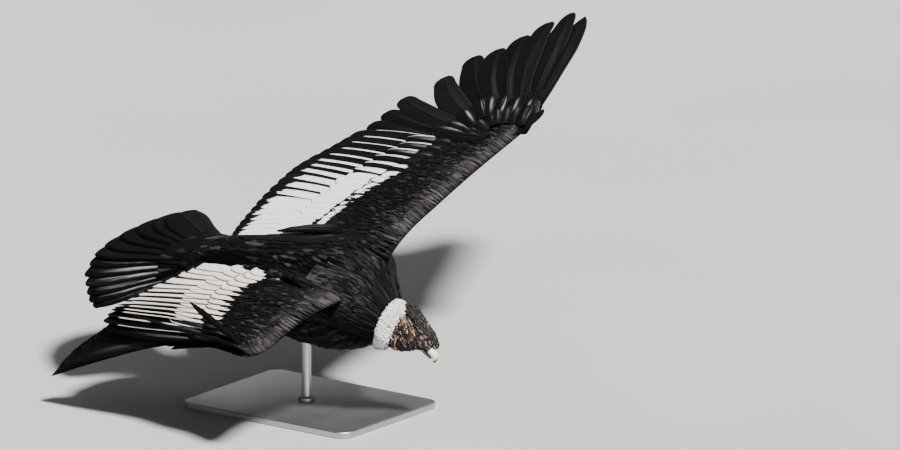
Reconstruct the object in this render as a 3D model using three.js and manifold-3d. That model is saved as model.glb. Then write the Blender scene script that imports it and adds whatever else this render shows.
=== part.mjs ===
// An adult male Andean condor with its wings out, on a plain display stand.
// Millimetres, +Z up. The bird heads along +X and its left wing points along +Y.
// The bird is shaped in its own frame (x forward, y left, z up, zero between the
// shoulders), then pitched, banked and lifted over the base.
import * as THREE from "three";
import { mergeVertices } from "three/addons/utils/BufferGeometryUtils.js";
import Module from "manifold-3d";

const wasm = await Module();
wasm.setup();

// Attitude and height over the floor.
const PITCH = 7.52;
const BANK = 13.54;
const LIFT = 372;
const AHEAD = 60;
const GAP = 0.4;

// Colours of the bare parts, plumage and stand.
const BLACK = 0x1b1a1b;
const WHITE = 0xe9e6df;
const SKIN = 0x4a342e;
const COMB = 0x4b4040;
const IVORY = 0xd8cdb4;
const HORN = 0x2b2726;
const LEG = 0x6b625c;
const EYE_BROWN = 0x3a2416;
const STEEL = 0xb9bbbc;

const V = (x, y, z) => new THREE.Vector3(x, y, z);
const lerp = (a, b, t) => a + (b - a) * t;
const spline = (points) => new THREE.CatmullRomCurve3(points.map((p) => V(...p)));

// A closed solid from points and triangles, turned the right way out.
function solid(points, faces) {
  const vertProperties = new Float32Array(points.flatMap((p) => [p.x, p.y, p.z]));
  const build = (list) =>
    new wasm.Manifold(
      new wasm.Mesh({ numProp: 3, vertProperties, triVerts: new Uint32Array(list.flat()) }),
    );
  const made = build(faces);
  return made.volume() > 0 ? made : build(faces.map(([a, b, c]) => [a, c, b]));
}

// A skin through rings of points, closed at both ends by a fan.
function loft(rings) {
  const n = rings[0].length;
  const points = rings.flat();
  const faces = [];
  for (let i = 0; i + 1 < rings.length; i++) {
    for (let j = 0; j < n; j++) {
      const a = i * n + j;
      const b = i * n + ((j + 1) % n);
      faces.push([a, b, b + n], [a, b + n, a + n]);
    }
  }
  for (const [first, flip] of [[0, true], [(rings.length - 1) * n, false]]) {
    const middle = points.length;
    const centre = V(0, 0, 0);
    for (let j = 0; j < n; j++) centre.add(points[first + j]);
    points.push(centre.divideScalar(n));
    for (let j = 0; j < n; j++) {
      const a = first + j;
      const b = first + ((j + 1) % n);
      faces.push(flip ? [b, a, middle] : [a, b, middle]);
    }
  }
  return solid(points, faces);
}

// One oval ring: centre, half width, half heights above and below, and its two axes.
function oval(centre, wide, up, down, side, rise, count) {
  const ring = [];
  for (let j = 0; j < count; j++) {
    const a = (2 * Math.PI * j) / count;
    const high = Math.sin(a) > 0 ? up : down;
    ring.push(
      centre
        .clone()
        .addScaledVector(side, wide * Math.cos(a))
        .addScaledVector(rise, high * Math.sin(a)),
    );
  }
  return ring;
}

// The solid's largest piece, since a cut can leave crumbs.
function largest(made) {
  const pieces = made.decompose();
  return pieces.reduce((best, p) => (p.volume() > best.volume() ? p : best));
}

// Torso: stations from the rump to the base of the neck as
// [x, middle height, half width, half height].
const TORSO = [
  [-405, -6, 56, 26],
  [-350, -20, 88, 48],
  [-280, -42, 116, 76],
  [-190, -62, 137, 94],
  [-90, -81, 148, 109],
  [10, -95, 149, 119],
  [80, -101, 127, 111],
  [122, -109, 86, 88],
];
const TORSO_SIDES = 20;

function torsoSolid(swell) {
  const rings = TORSO.map(([x, z, wide, high]) =>
    oval(V(x, 0, z), wide + swell, high + swell, high + swell, V(0, 1, 0), V(0, 0, 1), TORSO_SIDES),
  );
  if (swell) {
    rings[0].forEach((p) => (p.x -= swell));
    rings.at(-1).forEach((p) => (p.x += swell));
  }
  return loft(rings);
}

// The head's own frame: h along the bill, s to its left side, d towards the crown.
const HEAD_AT = V(203, -35, -153);
const HEAD_H = V(0.537, 0.038, -0.843).normalize();
const HEAD_S = V(-0.42, 0.88, -0.22);
HEAD_S.addScaledVector(HEAD_H, -HEAD_S.dot(HEAD_H)).normalize();
const HEAD_D = HEAD_H.clone().cross(HEAD_S).normalize();
const atHead = (h, s, d) =>
  HEAD_AT.clone().addScaledVector(HEAD_H, h).addScaledVector(HEAD_S, s).addScaledVector(HEAD_D, d);

// The ruff's plane: the collar's middle and the way the neck comes out of it.
const RUFF_AT = atHead(-26, 0, -20);
const RUFF_N = V(0.869, 0.02, -0.493).normalize();
const RUFF_SIDE = V(0, 1, 0).addScaledVector(RUFF_N, -RUFF_N.y).normalize();
const RUFF_RISE = RUFF_N.clone().cross(RUFF_SIDE).normalize();

// Feathered neck: from the chest forward to the back of the ruff.
function neckSolid(swell) {
  const last = TORSO.at(-1);
  const start = V(last[0] + GAP, 0, last[1]);
  const end = RUFF_AT.clone().addScaledVector(RUFF_N, -20);
  const rings = [];
  for (const t of [0, 0.35, 0.7, 1]) {
    const ease = t * t * (3 - 2 * t);
    const side = V(0, 1, 0).lerp(RUFF_SIDE, ease).normalize();
    const rise = V(0, 0, 1).lerp(RUFF_RISE, ease).normalize();
    const wide = lerp(last[2], 50, t);
    const high = lerp(last[3], 58, t);
    rings.push(oval(start.clone().lerp(end, t), wide + swell, high + swell, high + swell, side, rise, 20));
  }
  return loft(rings);
}

// Ruff: a thick downy collar, a ring with two rows of flat locks swept back round it.
const RUFF_WIDE = 60;
const RUFF_HIGH = 68;
const RUFF_LOCKS = 13;
const RUFF_RINGS = [
  [-19, 0.8],
  [-7, 0.98],
  [6, 0.96],
  [15, 0.76],
];
function ruffSolid() {
  const rings = RUFF_RINGS.map(([along, size]) =>
    oval(
      RUFF_AT.clone().addScaledVector(RUFF_N, along),
      size * RUFF_WIDE,
      size * RUFF_HIGH,
      size * RUFF_HIGH,
      RUFF_SIDE,
      RUFF_RISE,
      16,
    ),
  );
  const pieces = [loft(rings)];
  for (const [along, reach, back, turn] of [[10, 0.84, 7, 0], [0, 0.88, 11, 0.5]]) {
    for (let i = 0; i < RUFF_LOCKS; i++) {
      const a = (2 * Math.PI * (i + turn)) / RUFF_LOCKS;
      const out = RUFF_SIDE.clone()
        .multiplyScalar(RUFF_WIDE * Math.cos(a))
        .addScaledVector(RUFF_RISE, RUFF_HIGH * Math.sin(a));
      const root = RUFF_AT.clone().addScaledVector(RUFF_N, along).addScaledVector(out, reach);
      const tip = RUFF_AT.clone().addScaledVector(RUFF_N, along - back).addScaledVector(out, 1.06);
      pieces.push(lock(root, tip, out.clone().normalize(), 29, 8, LOCK));
    }
  }
  return pieces.reduce((whole, p) => whole.add(p));
}

// A tapering lock or fold of skin: flat in the outward direction, widest in its middle.
const LOCK = [[0, 0.8], [0.55, 1], [1, 0.15]];
const FOLD = [[0, 0.35], [0.3, 1], [0.72, 0.9], [1, 0.15]];
function lock(root, tip, out, wide, thick, shape = FOLD) {
  const along = tip.clone().sub(root).normalize();
  const side = along.clone().cross(out).normalize();
  const rise = side.clone().cross(along).normalize();
  const sides = shape === LOCK ? 4 : 5;
  const rings = shape.map(([t, size]) =>
    oval(root.clone().lerp(tip, t), 0.5 * wide * size, 0.5 * thick * size, 0.5 * thick * size, side, rise, sides),
  );
  return loft(rings);
}

// Bare neck and head in one skin from inside the ruff to the bill: stations
// [h, d, half width, half height]. A cut parallel to the ruff parts neck from head.
const SKULL = [
  [-2, -17, 34, 43],
  [14, -17, 31, 43],
  [28, -12, 27, 38],
  [44, -7, 21, 29],
  [58, 2, 15.5, 19],
  [66, 7, 13, 14],
];
const HEAD_CUT = 19;

// Folds of the bare skin as [h, d] start, [h, d] end, width, thickness. Brow, cheek and jaw
// carry long ones, and the throat hangs in short wattles.
const FACE_FOLDS = [
  [[-8, 17], [34, 8], 7, 6],
  [[8, -4], [28, -14], 5, 5],
  [[14, -16], [31, -27], 6, 6],
  [[26, -8], [44, -17], 5, 5],
  [[30, -34], [50, -20], 7, 7],
];
const THROAT_FOLDS = [
  [[-24, -8], [-12, -12], 6, 5],
  [[-16, -24], [0, -30], 6, 5],
  [[-10, -38], [6, -44], 7, 6],
];
function skinOffset(h, d, sign) {
  const rows = [[-30, -20, 38, 46], ...SKULL];
  let i = 0;
  while (i < rows.length - 2 && rows[i + 1][0] < h) i++;
  const t = (h - rows[i][0]) / (rows[i + 1][0] - rows[i][0]);
  const [, middle, wide, high] = rows[i].map((v, k) => lerp(v, rows[i + 1][k], t));
  const c = Math.max(0.05, 1 - ((d - middle) / high) ** 2);
  return sign * wide * Math.sqrt(c);
}
function folds(list) {
  return [1, -1].flatMap((sign) =>
    list.map(([from, to, wide, thick]) => {
      const root = atHead(from[0], skinOffset(...from, sign), from[1]);
      const tip = atHead(to[0], skinOffset(...to, sign), to[1]);
      return lock(root.clone().lerp(tip, -0.1), tip.lerp(root, -0.1), HEAD_S, thick, wide);
    }),
  );
}
function headForm(swell) {
  const base = RUFF_AT.clone().addScaledVector(RUFF_N, 8);
  const rings = [oval(base, 40 + swell, 46 + swell, 50 + swell, RUFF_SIDE, RUFF_RISE, 18)];
  for (const [h, d, wide, high] of SKULL) {
    rings.push(oval(atHead(h, 0, d), wide + swell, high + swell, high + swell, HEAD_S, HEAD_D, 18));
  }
  return loft(rings);
}
function slab(from, to) {
  const face = (along) => oval(RUFF_AT.clone().addScaledVector(RUFF_N, along), 150, 150, 150, RUFF_SIDE, RUFF_RISE, 4);
  return loft([face(from), face(to)]);
}
const throatSkin = () =>
  folds(THROAT_FOLDS)
    .reduce((whole, p) => whole.add(p), headForm(0))
    .subtract(slab(HEAD_CUT - GAP, 300));
function headSkin() {
  const skull = folds(FACE_FOLDS)
    .reduce((whole, p) => whole.add(p), headForm(0))
    .subtract(slab(-150, HEAD_CUT));
  return [1, -1].reduce((whole, sign) => whole.add(eyelids(sign)).subtract(eyeBall(sign, EYE.radius + GAP)), skull);
}

// Eyes: small dark balls deep in folded lids, a third of the way down the face.
const EYE = { h: 4, d: 3, radius: 8 };
const eyeAt = (sign) => atHead(EYE.h, skinOffset(EYE.h, EYE.d, sign) - sign * 4.4, EYE.d);
function ball(centre, radius) {
  const rings = [0.3, 0.9, 1.571, 2.242, 2.842].map((a) => {
    const size = radius * Math.sin(a);
    return oval(centre.clone().addScaledVector(HEAD_H, -radius * Math.cos(a)), size, size, size, HEAD_S, HEAD_D, 10);
  });
  return loft(rings);
}
const eyeBall = (sign, radius) => ball(eyeAt(sign), radius);
function eyelids(sign) {
  const lids = [];
  for (const [d, lift] of [[5.5, 1.2], [-5.5, 0.6]]) {
    const root = eyeAt(sign).addScaledVector(HEAD_H, -7.6).addScaledVector(HEAD_D, 0.5 * d);
    const tip = eyeAt(sign).addScaledVector(HEAD_H, 8.5).addScaledVector(HEAD_D, 0.5 * d);
    for (const p of [root, tip]) p.addScaledVector(HEAD_S, sign * (3.5 + lift)).addScaledVector(HEAD_D, 0.6 * d);
    lids.push(lock(root, tip, HEAD_S, 8, 5));
  }
  return lids[0].add(lids[1]);
}

// Bill: upper and lower jaws from the cere to the hook, stations [h, d, half width, half height].
// The line between them is the mouth; a nostril goes in each side at the base.
const BILL_UPPER = [
  [66.4, 12, 12, 9.5],
  [80, 13, 11, 9],
  [94, 13, 9.5, 9],
  [104, 10, 6.5, 8],
  [110.5, 2.5, 2.6, 4.5],
];
const BILL_LOWER = [
  [66.4, -2, 10, 4.2],
  [80, -1.2, 8.5, 3.8],
  [92, -0.6, 6, 3],
  [98, 0, 3, 1.6],
];
const billSolid = (rows) =>
  loft(rows.map(([h, d, wide, high]) => oval(atHead(h, 0, d), wide, high, high, HEAD_S, HEAD_D, 14)));
function billUpper() {
  const nostril = (sign) => lock(atHead(69, sign * 12.5, 14), atHead(77, sign * 12, 15), HEAD_S, 4, 5);
  return billSolid(BILL_UPPER).subtract(nostril(1)).subtract(nostril(-1));
}
const billRoom = () =>
  billSolid(BILL_UPPER.map(([h, d, wide, high]) => [h + (h > 70 ? GAP : -GAP), d, wide + GAP, high + GAP]));
const billLower = () => billSolid(BILL_LOWER).subtract(billRoom());

// Comb: the male's fleshy ridge over the crown and the base of the bill, with its side folds.
const COMB_ROWS = [
  [-40, 38, 5, 8],
  [-30, 40.5, 8.5, 15],
  [-12, 41.5, 11, 18],
  [8, 40, 12, 17.5],
  [25, 38.5, 12.5, 16.5],
  [42, 37.5, 12, 16],
  [58, 35.5, 11, 15],
  [76, 33.5, 9, 12],
  [90, 30.5, 4, 6],
];
const COMB_BUMPS = [
  [-20, 49, 9, 8],
  [0, 47, 11, 9],
  [22, 44, 12, 9],
  [44, 44, 11, 9],
  [12, 32, 12, 8],
  [32, 30, 12.5, 8],
  [52, 29, 11, 8],
];
function combBody(swell) {
  return loft(
    COMB_ROWS.map(([h, d, wide, high]) =>
      oval(atHead(h, 0, d), wide + swell, high + swell, high + swell, HEAD_S, HEAD_D, 12),
    ),
  );
}
function combSolid(swell) {
  const bumps = COMB_BUMPS.flatMap(([h, d, s, size]) =>
    [1, -1].map((sign) => {
      const root = atHead(h - size - swell, sign * s, d);
      const tip = atHead(h + size + swell, sign * s * 0.95, d - 2);
      return lock(root, tip, HEAD_S, size + 3 * swell, 5 + 3 * swell);
    }),
  );
  return bumps.reduce((whole, p) => whole.add(p), combBody(swell));
}

// One feather: a flat tapering vane, four corners at each station. Its outer side is the one
// towards the wing tip, or away from the tail's middle. share is the outer part of its width.
const QUILL = [[0, 0.5], [0.4, 0.95], [0.82, 0.94], [0.95, 0.56], [1, 0.15]];
const RECTRIX = [[0, 0.5], [0.45, 0.95], [0.9, 0.92], [0.98, 0.6], [1, 0.3]];
const COVERT = [[0, 0.6], [0.5, 1], [0.84, 0.86], [1, 0.24]];
function feather({ root, tip, wide, hand, share = 0.36, lean = 0.05, sag = 0, bow = 0, thick = 1.6, shape = QUILL }) {
  const along = tip.clone().sub(root).normalize();
  const side = along.clone().cross(V(0, 0, 1)).normalize().multiplyScalar(hand);
  const rings = shape.map(([t, size]) => {
    const arc = 4 * t * (1 - t);
    const middle = root.clone().lerp(tip, t).addScaledVector(side, bow * arc).add(V(0, 0, sag * arc));
    const half = 0.5 * lerp(thick, 0.8, t);
    const outer = wide * size * share;
    const inner = -wide * size * (1 - share);
    return [[outer, half], [inner, half], [inner, -half], [outer, -half]].map(([across, high]) =>
      middle.clone().addScaledVector(side, across).add(V(0, 0, lean * across + high)),
    );
  });
  return loft(rings);
}

// A wing: the fleshed arm and hand under small feathers, then flight feathers from the
// innermost to the outermost, with two tiers of coverts over their bases.
// leading: front edge of the arm and hand; arm: where the inner flight feathers root;
// edge: their tips; primaries: [root, tip] pairs of the ten long feathers of the hand.
const SECONDARY_WIDE = 62;
const PRIMARY_WIDE = 78;
const LEFT = {
  hand: 1,
  leading: [
    [152, 40, -14],
    [136, 110, -2],
    [122, 200, 3],
    [108, 320, 5],
    [97, 450, 6],
    [90, 560, 6],
    [86, 660, 6],
    [74, 770, 5],
    [56, 850, 5],
    [26, 915, 6],
  ],
  arm: [[-42, 128, 6], [-36, 220, 4], [-20, 400, 2], [16, 625, 2]],
  edge: [
    [-396, 142, -4],
    [-427, 216, -10],
    [-452, 310, -12],
    [-472, 400, -12],
    [-484, 500, -12],
    [-483, 565, -12],
    [-458, 640, -10],
    [-438, 715, -8],
  ],
  handRoots: [[30, 655, 2], [34, 770, 3], [26, 882, 6]],
  primaryTips: [
    [-420, 772, -6],
    [-417, 834, -4],
    [-413, 906, 0],
    [-370, 1007, 4],
    [-360, 1120, 8],
    [-306, 1154, 12],
    [-272, 1221, 16],
    [-245, 1292, 20],
    [-213, 1346, 22],
    [-157, 1328, 22],
  ],
  primarySag: 6,
  secondaries: 18,
  greaterCoverts: 28,
  medianCoverts: 25,
};
const RIGHT = {
  hand: -1,
  leading: [
    [152, -40, -14],
    [162, -110, -6],
    [169, -186, -8],
    [147, -250, -6],
    [138, -345, -5],
    [146, -440, -5],
    [138, -480, -7],
    [104, -492, -8],
    [20, -434, -12],
    [-104, -424, -10],
  ],
  arm: [[-50, -126, 16], [-76, -200, 10], [-20, -310, 2], [66, -420, -2]],
  edge: [
    [-332, -88, 26],
    [-365, -117, 20],
    [-410, -165, 10],
    [-432, -203, 6],
    [-442, -234, 2],
    [-445, -270, 0],
    [-451, -288, -2],
    [-446, -330, -6],
  ],
  handRoots: [[62, -440, -3], [0, -425, -9], [-84, -412, -15]],
  primaryTips: [
    [-428, -352, -14],
    [-438, -352, -24],
    [-450, -350, -34],
    [-470, -360, -46],
    [-486, -370, -58],
    [-510, -378, -72],
    [-534, -388, -86],
    [-552, -396, -98],
    [-574, -402, -112],
    [-599, -405, -130],
  ],
  primarySag: 18,
  secondaries: 14,
  greaterCoverts: 17,
  medianCoverts: 14,
};

// The flight feathers of one wing as { root, tip, wide, share, sag }, innermost first.
function flightFeathers(wing) {
  const arm = spline(wing.arm);
  const edge = spline(wing.edge);
  const list = [];
  for (let i = 0; i < wing.secondaries; i++) {
    const t = i / (wing.secondaries - 1);
    list.push({ root: arm.getPoint(t), tip: edge.getPoint(t), wide: SECONDARY_WIDE, share: 0.42, sag: 5 });
  }
  const roots = spline(wing.handRoots);
  wing.primaryTips.forEach((tip, i) => {
    const t = i / (wing.primaryTips.length - 1);
    const wide = lerp(SECONDARY_WIDE, PRIMARY_WIDE, Math.min(1, 2 * t)) - 14 * t ** 6;
    list.push({ root: roots.getPoint(t), tip: V(...tip), wide, share: lerp(0.4, 0.3, t), sag: wing.primarySag * t });
  });
  return list;
}

// The arm and hand: ribs from the front edge back over the feather roots.
const RIB = [
  [0, 0],
  [0.05, 0.62],
  [0.2, 1],
  [0.55, 0.8],
  [1, 0.34],
  [1, -0.3],
  [0.5, -0.55],
  [0.12, -0.65],
];
const RIB_COUNT = 16;
const CORE_REACH = 0.2;
function wingCore(wing, feathers) {
  const leading = spline(wing.leading);
  const rings = [];
  for (let i = 0; i <= RIB_COUNT; i++) {
    const t = i / RIB_COUNT;
    const k = Math.min(t * (feathers.length - 1), feathers.length - 1.001);
    const near = feathers[Math.floor(k)];
    const far = feathers[Math.floor(k) + 1];
    const root = near.root.clone().lerp(far.root, k % 1);
    const tip = near.tip.clone().lerp(far.tip, k % 1);
    const front = leading.getPoint(t);
    const back = root.lerp(tip, CORE_REACH * lerp(1, 0.7, t));
    const thick = lerp(21, 7, t ** 0.8);
    rings.push(RIB.map(([c, high]) => front.clone().lerp(back, c).add(V(0, 0, thick * high))));
  }
  return loft(rings);
}

// Coverts lie over the flight feathers: reach is the part of their length that they cover.
function covertTier(feathers, wing, from, to, reach, handReach, lift, size) {
  return feathers.slice(from, to).map((f, i) => {
    const onHand = from + i >= wing.secondaries;
    const share = onHand ? handReach : reach;
    const root = f.root.clone().lerp(f.tip, 0.02).add(V(0, 0, lift + 1));
    const tip = f.root.clone().lerp(f.tip, share).add(V(0, 0, lift + f.sag * share));
    return feather({ root, tip, wide: f.wide * size, hand: wing.hand, share: 0.45, lean: 0.05, thick: 1.4, shape: COVERT });
  });
}

function wingSolid(wing, extra) {
  const feathers = flightFeathers(wing);
  const pieces = feathers.map((f) => feather({ ...f, hand: wing.hand, lean: 0.05 }));
  pieces.push(...covertTier(feathers, wing, 0, wing.greaterCoverts, 0.56, 0.38, 6, 0.86));
  pieces.push(...covertTier(feathers, wing, 0, wing.medianCoverts, 0.34, 0.24, 10, 0.8));
  pieces.push(...extra);
  return pieces.reduce((whole, p) => whole.add(p), wingCore(wing, feathers));
}

// Alula: the spread left one lies along the front edge, the right one's feathers stand up.
const vane = (hand, root, tip, wide, lean, sag = 0) =>
  feather({ root: V(...root), tip: V(...tip), wide, hand, share: 0.5, lean, sag });
const LEFT_ALULA = [
  vane(1, [84, 700, 10], [66, 838, 13], 30, 0.02),
  vane(1, [74, 690, 12], [46, 826, 15], 34, 0.02),
  vane(1, [64, 684, 14], [22, 806, 18], 36, 0.02),
];
const RIGHT_ALULA = [
  vane(-1, [62, -462, 4], [-152, -357, 60], 40, -0.1),
  vane(-1, [58, -462, -2], [-109, -436, 20], 32, -0.1),
  vane(-1, [-40, -424, -8], [-346, -359, 20], 22, -0.1),
];

// Tail: twelve feathers fanned from the rump, each under its inner neighbour, with short
// coverts over their bases. The fan is rolled a little, right side down.
const TAIL_TIPS = [
  [-556, 202, 20],
  [-606, 187, 17],
  [-656, 161, 13],
  [-692, 121, 8],
  [-708, 73, 4],
  [-710, 24, 0],
  [-706, -23, -6],
  [-691, -73, -13],
  [-660, -118, -21],
  [-630, -158, -29],
  [-600, -190, -37],
  [-572, -213, -45],
];
const TAIL_WIDE = 66;
function tailSolid() {
  const pieces = [];
  const block = [[-330, 60, 26, 20], [-380, 68, 22, 16], [-430, 66, 13, 10], [-470, 56, 6, 5]];
  pieces.push(
    loft(
      block.map(([x, wide, up, down]) => oval(V(x, 0, 0.02 * (x + 330)), wide, up, down, V(0, 1, 0), V(0, 0.12, 1), 16)),
    ),
  );
  TAIL_TIPS.forEach((tip, i) => {
    const across = 1 - (2 * i) / (TAIL_TIPS.length - 1);
    const hand = across > 0 ? 1 : -1;
    const high = -9 * Math.abs(across);
    const root = V(-372, 46 * across, 6 * across + high + 6);
    const end = V(...tip).add(V(0, 0, high + 6));
    pieces.push(feather({ root, tip: end, wide: TAIL_WIDE, hand, share: 0.4, lean: -0.07, shape: RECTRIX }));
    if (i % 2) return;
    const start = V(-352, 44 * across, 5 * across + high + 15);
    const short = root.clone().lerp(end, 0.42).add(V(0, 4 * hand, 6));
    pieces.push(feather({ root: start, tip: short, wide: 62, hand, share: 0.5, lean: -0.07, shape: COVERT }));
  });
  return pieces.reduce((whole, p) => whole.add(p));
}

// A leg held back under the tail: scaled shank, foot, three front toes and a short hind toe.
const tube = (points, sizes, sides) => {
  const path = spline(points);
  return loft(
    sizes.map((size, i) => {
      const t = i / (sizes.length - 1);
      const along = path.getTangent(t);
      const across = V(0, 1, 0).addScaledVector(along, -along.y).normalize();
      return oval(path.getPoint(t), size, size, size, across, along.clone().cross(across), sides);
    }),
  );
};
const TOES = [
  { from: [-372, 4, -128], to: [-470, 16, -122], size: 7 },
  { from: [-374, 0, -128], to: [-486, 0, -118], size: 7.5 },
  { from: [-372, -4, -128], to: [-466, -15, -124], size: 7 },
  { from: [-362, 0, -134], to: [-392, 3, -156], size: 5.5 },
];
const FOOT_Y = 56;
const toePoint = ([x, y, z], side, drop = 0) => [x, side * (FOOT_Y + y), z - drop];
function legSolid(side) {
  const shank = tube(
    [[-205, side * 66, -150], [-260, side * 62, -158], [-330, side * 57, -142], [-380, side * FOOT_Y, -127]],
    [22, 15, 9, 9.5, 11],
    10,
  );
  const toes = TOES.map(({ from, to, size }) => {
    const knuckle = from.map((v, i) => lerp(v, to[i], 0.5));
    const points = [toePoint(from, side), toePoint(knuckle, side, -3), toePoint(to, side)];
    return tube(points, [size * 1.1, size, size * 0.8, size * 0.75], 6);
  });
  return toes.reduce((whole, p) => whole.add(p), shank);
}

// Claws: short, blunt and nearly straight, one on the end of each toe.
function clawSolid(side, toe) {
  const { from, to, size } = TOES[toe];
  const way = V(...to).sub(V(...from)).normalize();
  const start = V(...toePoint(to, side)).addScaledVector(V(way.x, side * way.y, way.z), GAP + 0.3);
  const bend = start.clone().addScaledVector(V(way.x, side * way.y, way.z), 9).add(V(0, 0, -1));
  const end = start.clone().addScaledVector(V(way.x, side * way.y, way.z), 17).add(V(0, 0, -6));
  return tube([start.toArray(), bend.toArray(), end.toArray()], [size * 0.62, size * 0.5, 0.8], 6);
}

// Everything of the bird is turned and lifted by this matrix.
const POSE = new THREE.Matrix4()
  .makeTranslation(AHEAD, 0, LIFT)
  .multiply(new THREE.Matrix4().makeRotationY(THREE.MathUtils.degToRad(-PITCH)))
  .multiply(new THREE.Matrix4().makeRotationX(THREE.MathUtils.degToRad(BANK)));

function meshOf(name, made, color, roughness, matrix) {
  const { vertProperties, triVerts, numProp } = made.getMesh();
  const geometry = new THREE.BufferGeometry();
  const count = vertProperties.length / numProp;
  const positions = new Float32Array(3 * count);
  for (let i = 0; i < count; i++) {
    positions.set(vertProperties.subarray(i * numProp, i * numProp + 3), 3 * i);
  }
  geometry.setAttribute("position", new THREE.BufferAttribute(positions, 3));
  geometry.setIndex(new THREE.BufferAttribute(new Uint32Array(triVerts), 1));
  if (matrix) geometry.applyMatrix4(matrix);
  const flat = geometry.toNonIndexed();
  flat.computeVertexNormals();
  const mesh = new THREE.Mesh(flat, new THREE.MeshStandardMaterial({ color, roughness }));
  mesh.name = name;
  return mesh;
}

const group = new THREE.Group();
group.name = "andean_condor";
const bird = (name, made, color, roughness = 0.8) => group.add(meshOf(name, made, color, roughness, POSE));

const swollenTorso = torsoSolid(GAP);
const swollenBody = swollenTorso.add(neckSolid(GAP));
const torso = torsoSolid(0);
const combRoom = combSolid(GAP);
bird("torso", torso, BLACK);
bird("neck", neckSolid(0), BLACK);
bird("ruff", largest(ruffSolid().subtract(headForm(GAP)).subtract(combRoom)), WHITE);
bird("throat", largest(throatSkin().subtract(combRoom).subtract(ruffSolid())), SKIN);
bird("head", largest(headSkin().subtract(combRoom)), SKIN);
bird("bill_upper", largest(billUpper().subtract(combRoom)), IVORY, 0.35);
bird("bill_lower", largest(billLower()), IVORY, 0.35);
bird("eye_left", eyeBall(1, EYE.radius), EYE_BROWN, 0.1);
bird("eye_right", eyeBall(-1, EYE.radius), EYE_BROWN, 0.1);
bird("comb", combSolid(0), COMB);
bird("wing_left", largest(wingSolid(LEFT, LEFT_ALULA).subtract(swollenBody)), BLACK);
bird("wing_right", largest(wingSolid(RIGHT, RIGHT_ALULA).subtract(swollenBody)), BLACK);
bird("tail", largest(tailSolid().subtract(swollenTorso)), BLACK);
for (const [side, name] of [[1, "left"], [-1, "right"]]) {
  bird(`leg_${name}`, largest(legSolid(side).subtract(swollenTorso)), LEG);
  TOES.forEach((toe, i) => bird(`claw_${name}_${i + 1}`, clawSolid(side, i), HORN, 0.4));
}

// Stand: a plain steel plate on the floor with one short rod up to the belly.
const BASE = { length: 500, width: 380, thick: 16, corner: 30, bevel: 2 };
const ROD = { radius: 11, x: -10, foot: 20, footHigh: 10 };

// A three.js geometry as a solid, with its shared points merged.
function solidOf(geometry) {
  geometry.deleteAttribute("normal");
  geometry.deleteAttribute("uv");
  const merged = mergeVertices(geometry, 1e-3);
  return new wasm.Manifold(
    new wasm.Mesh({
      numProp: 3,
      vertProperties: merged.attributes.position.array,
      triVerts: new Uint32Array(merged.index.array),
    }),
  );
}

const outline = new THREE.Shape();
const farX = BASE.length / 2 - BASE.bevel - BASE.corner;
const farY = BASE.width / 2 - BASE.bevel - BASE.corner;
outline.absarc(farX, farY, BASE.corner, 0, Math.PI / 2);
outline.absarc(-farX, farY, BASE.corner, Math.PI / 2, Math.PI);
outline.absarc(-farX, -farY, BASE.corner, Math.PI, 1.5 * Math.PI);
outline.absarc(farX, -farY, BASE.corner, 1.5 * Math.PI, 2 * Math.PI);
const plateShape = new THREE.ExtrudeGeometry(outline, {
  depth: BASE.thick - 2 * BASE.bevel,
  bevelThickness: BASE.bevel,
  bevelSize: BASE.bevel,
  bevelSegments: 1,
  curveSegments: 5,
}).translate(0, 0, BASE.bevel);
group.add(meshOf("stand_base", solidOf(plateShape), STEEL, 0.5));

// The rod is turned from one bar, with a collar at its foot, and ends in the belly's feathers.
const rodFrom = BASE.thick + GAP;
const rodTo = 270;
const rodProfile = [
  [0, rodFrom],
  [ROD.foot, rodFrom],
  [ROD.foot, rodFrom + ROD.footHigh - 2],
  [ROD.foot - 2, rodFrom + ROD.footHigh],
  [ROD.radius, rodFrom + ROD.footHigh],
  [ROD.radius, rodTo],
  [0, rodTo],
].map(([x, y]) => new THREE.Vector2(x, y));
const rodShape = new THREE.LatheGeometry(rodProfile, 20).rotateX(Math.PI / 2).translate(ROD.x, 0, 0);
const rod = solidOf(rodShape).subtract(swollenTorso.transform(POSE.elements));
group.add(meshOf("stand_rod", largest(rod), STEEL, 0.4));

export default group;
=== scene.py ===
import math

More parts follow.
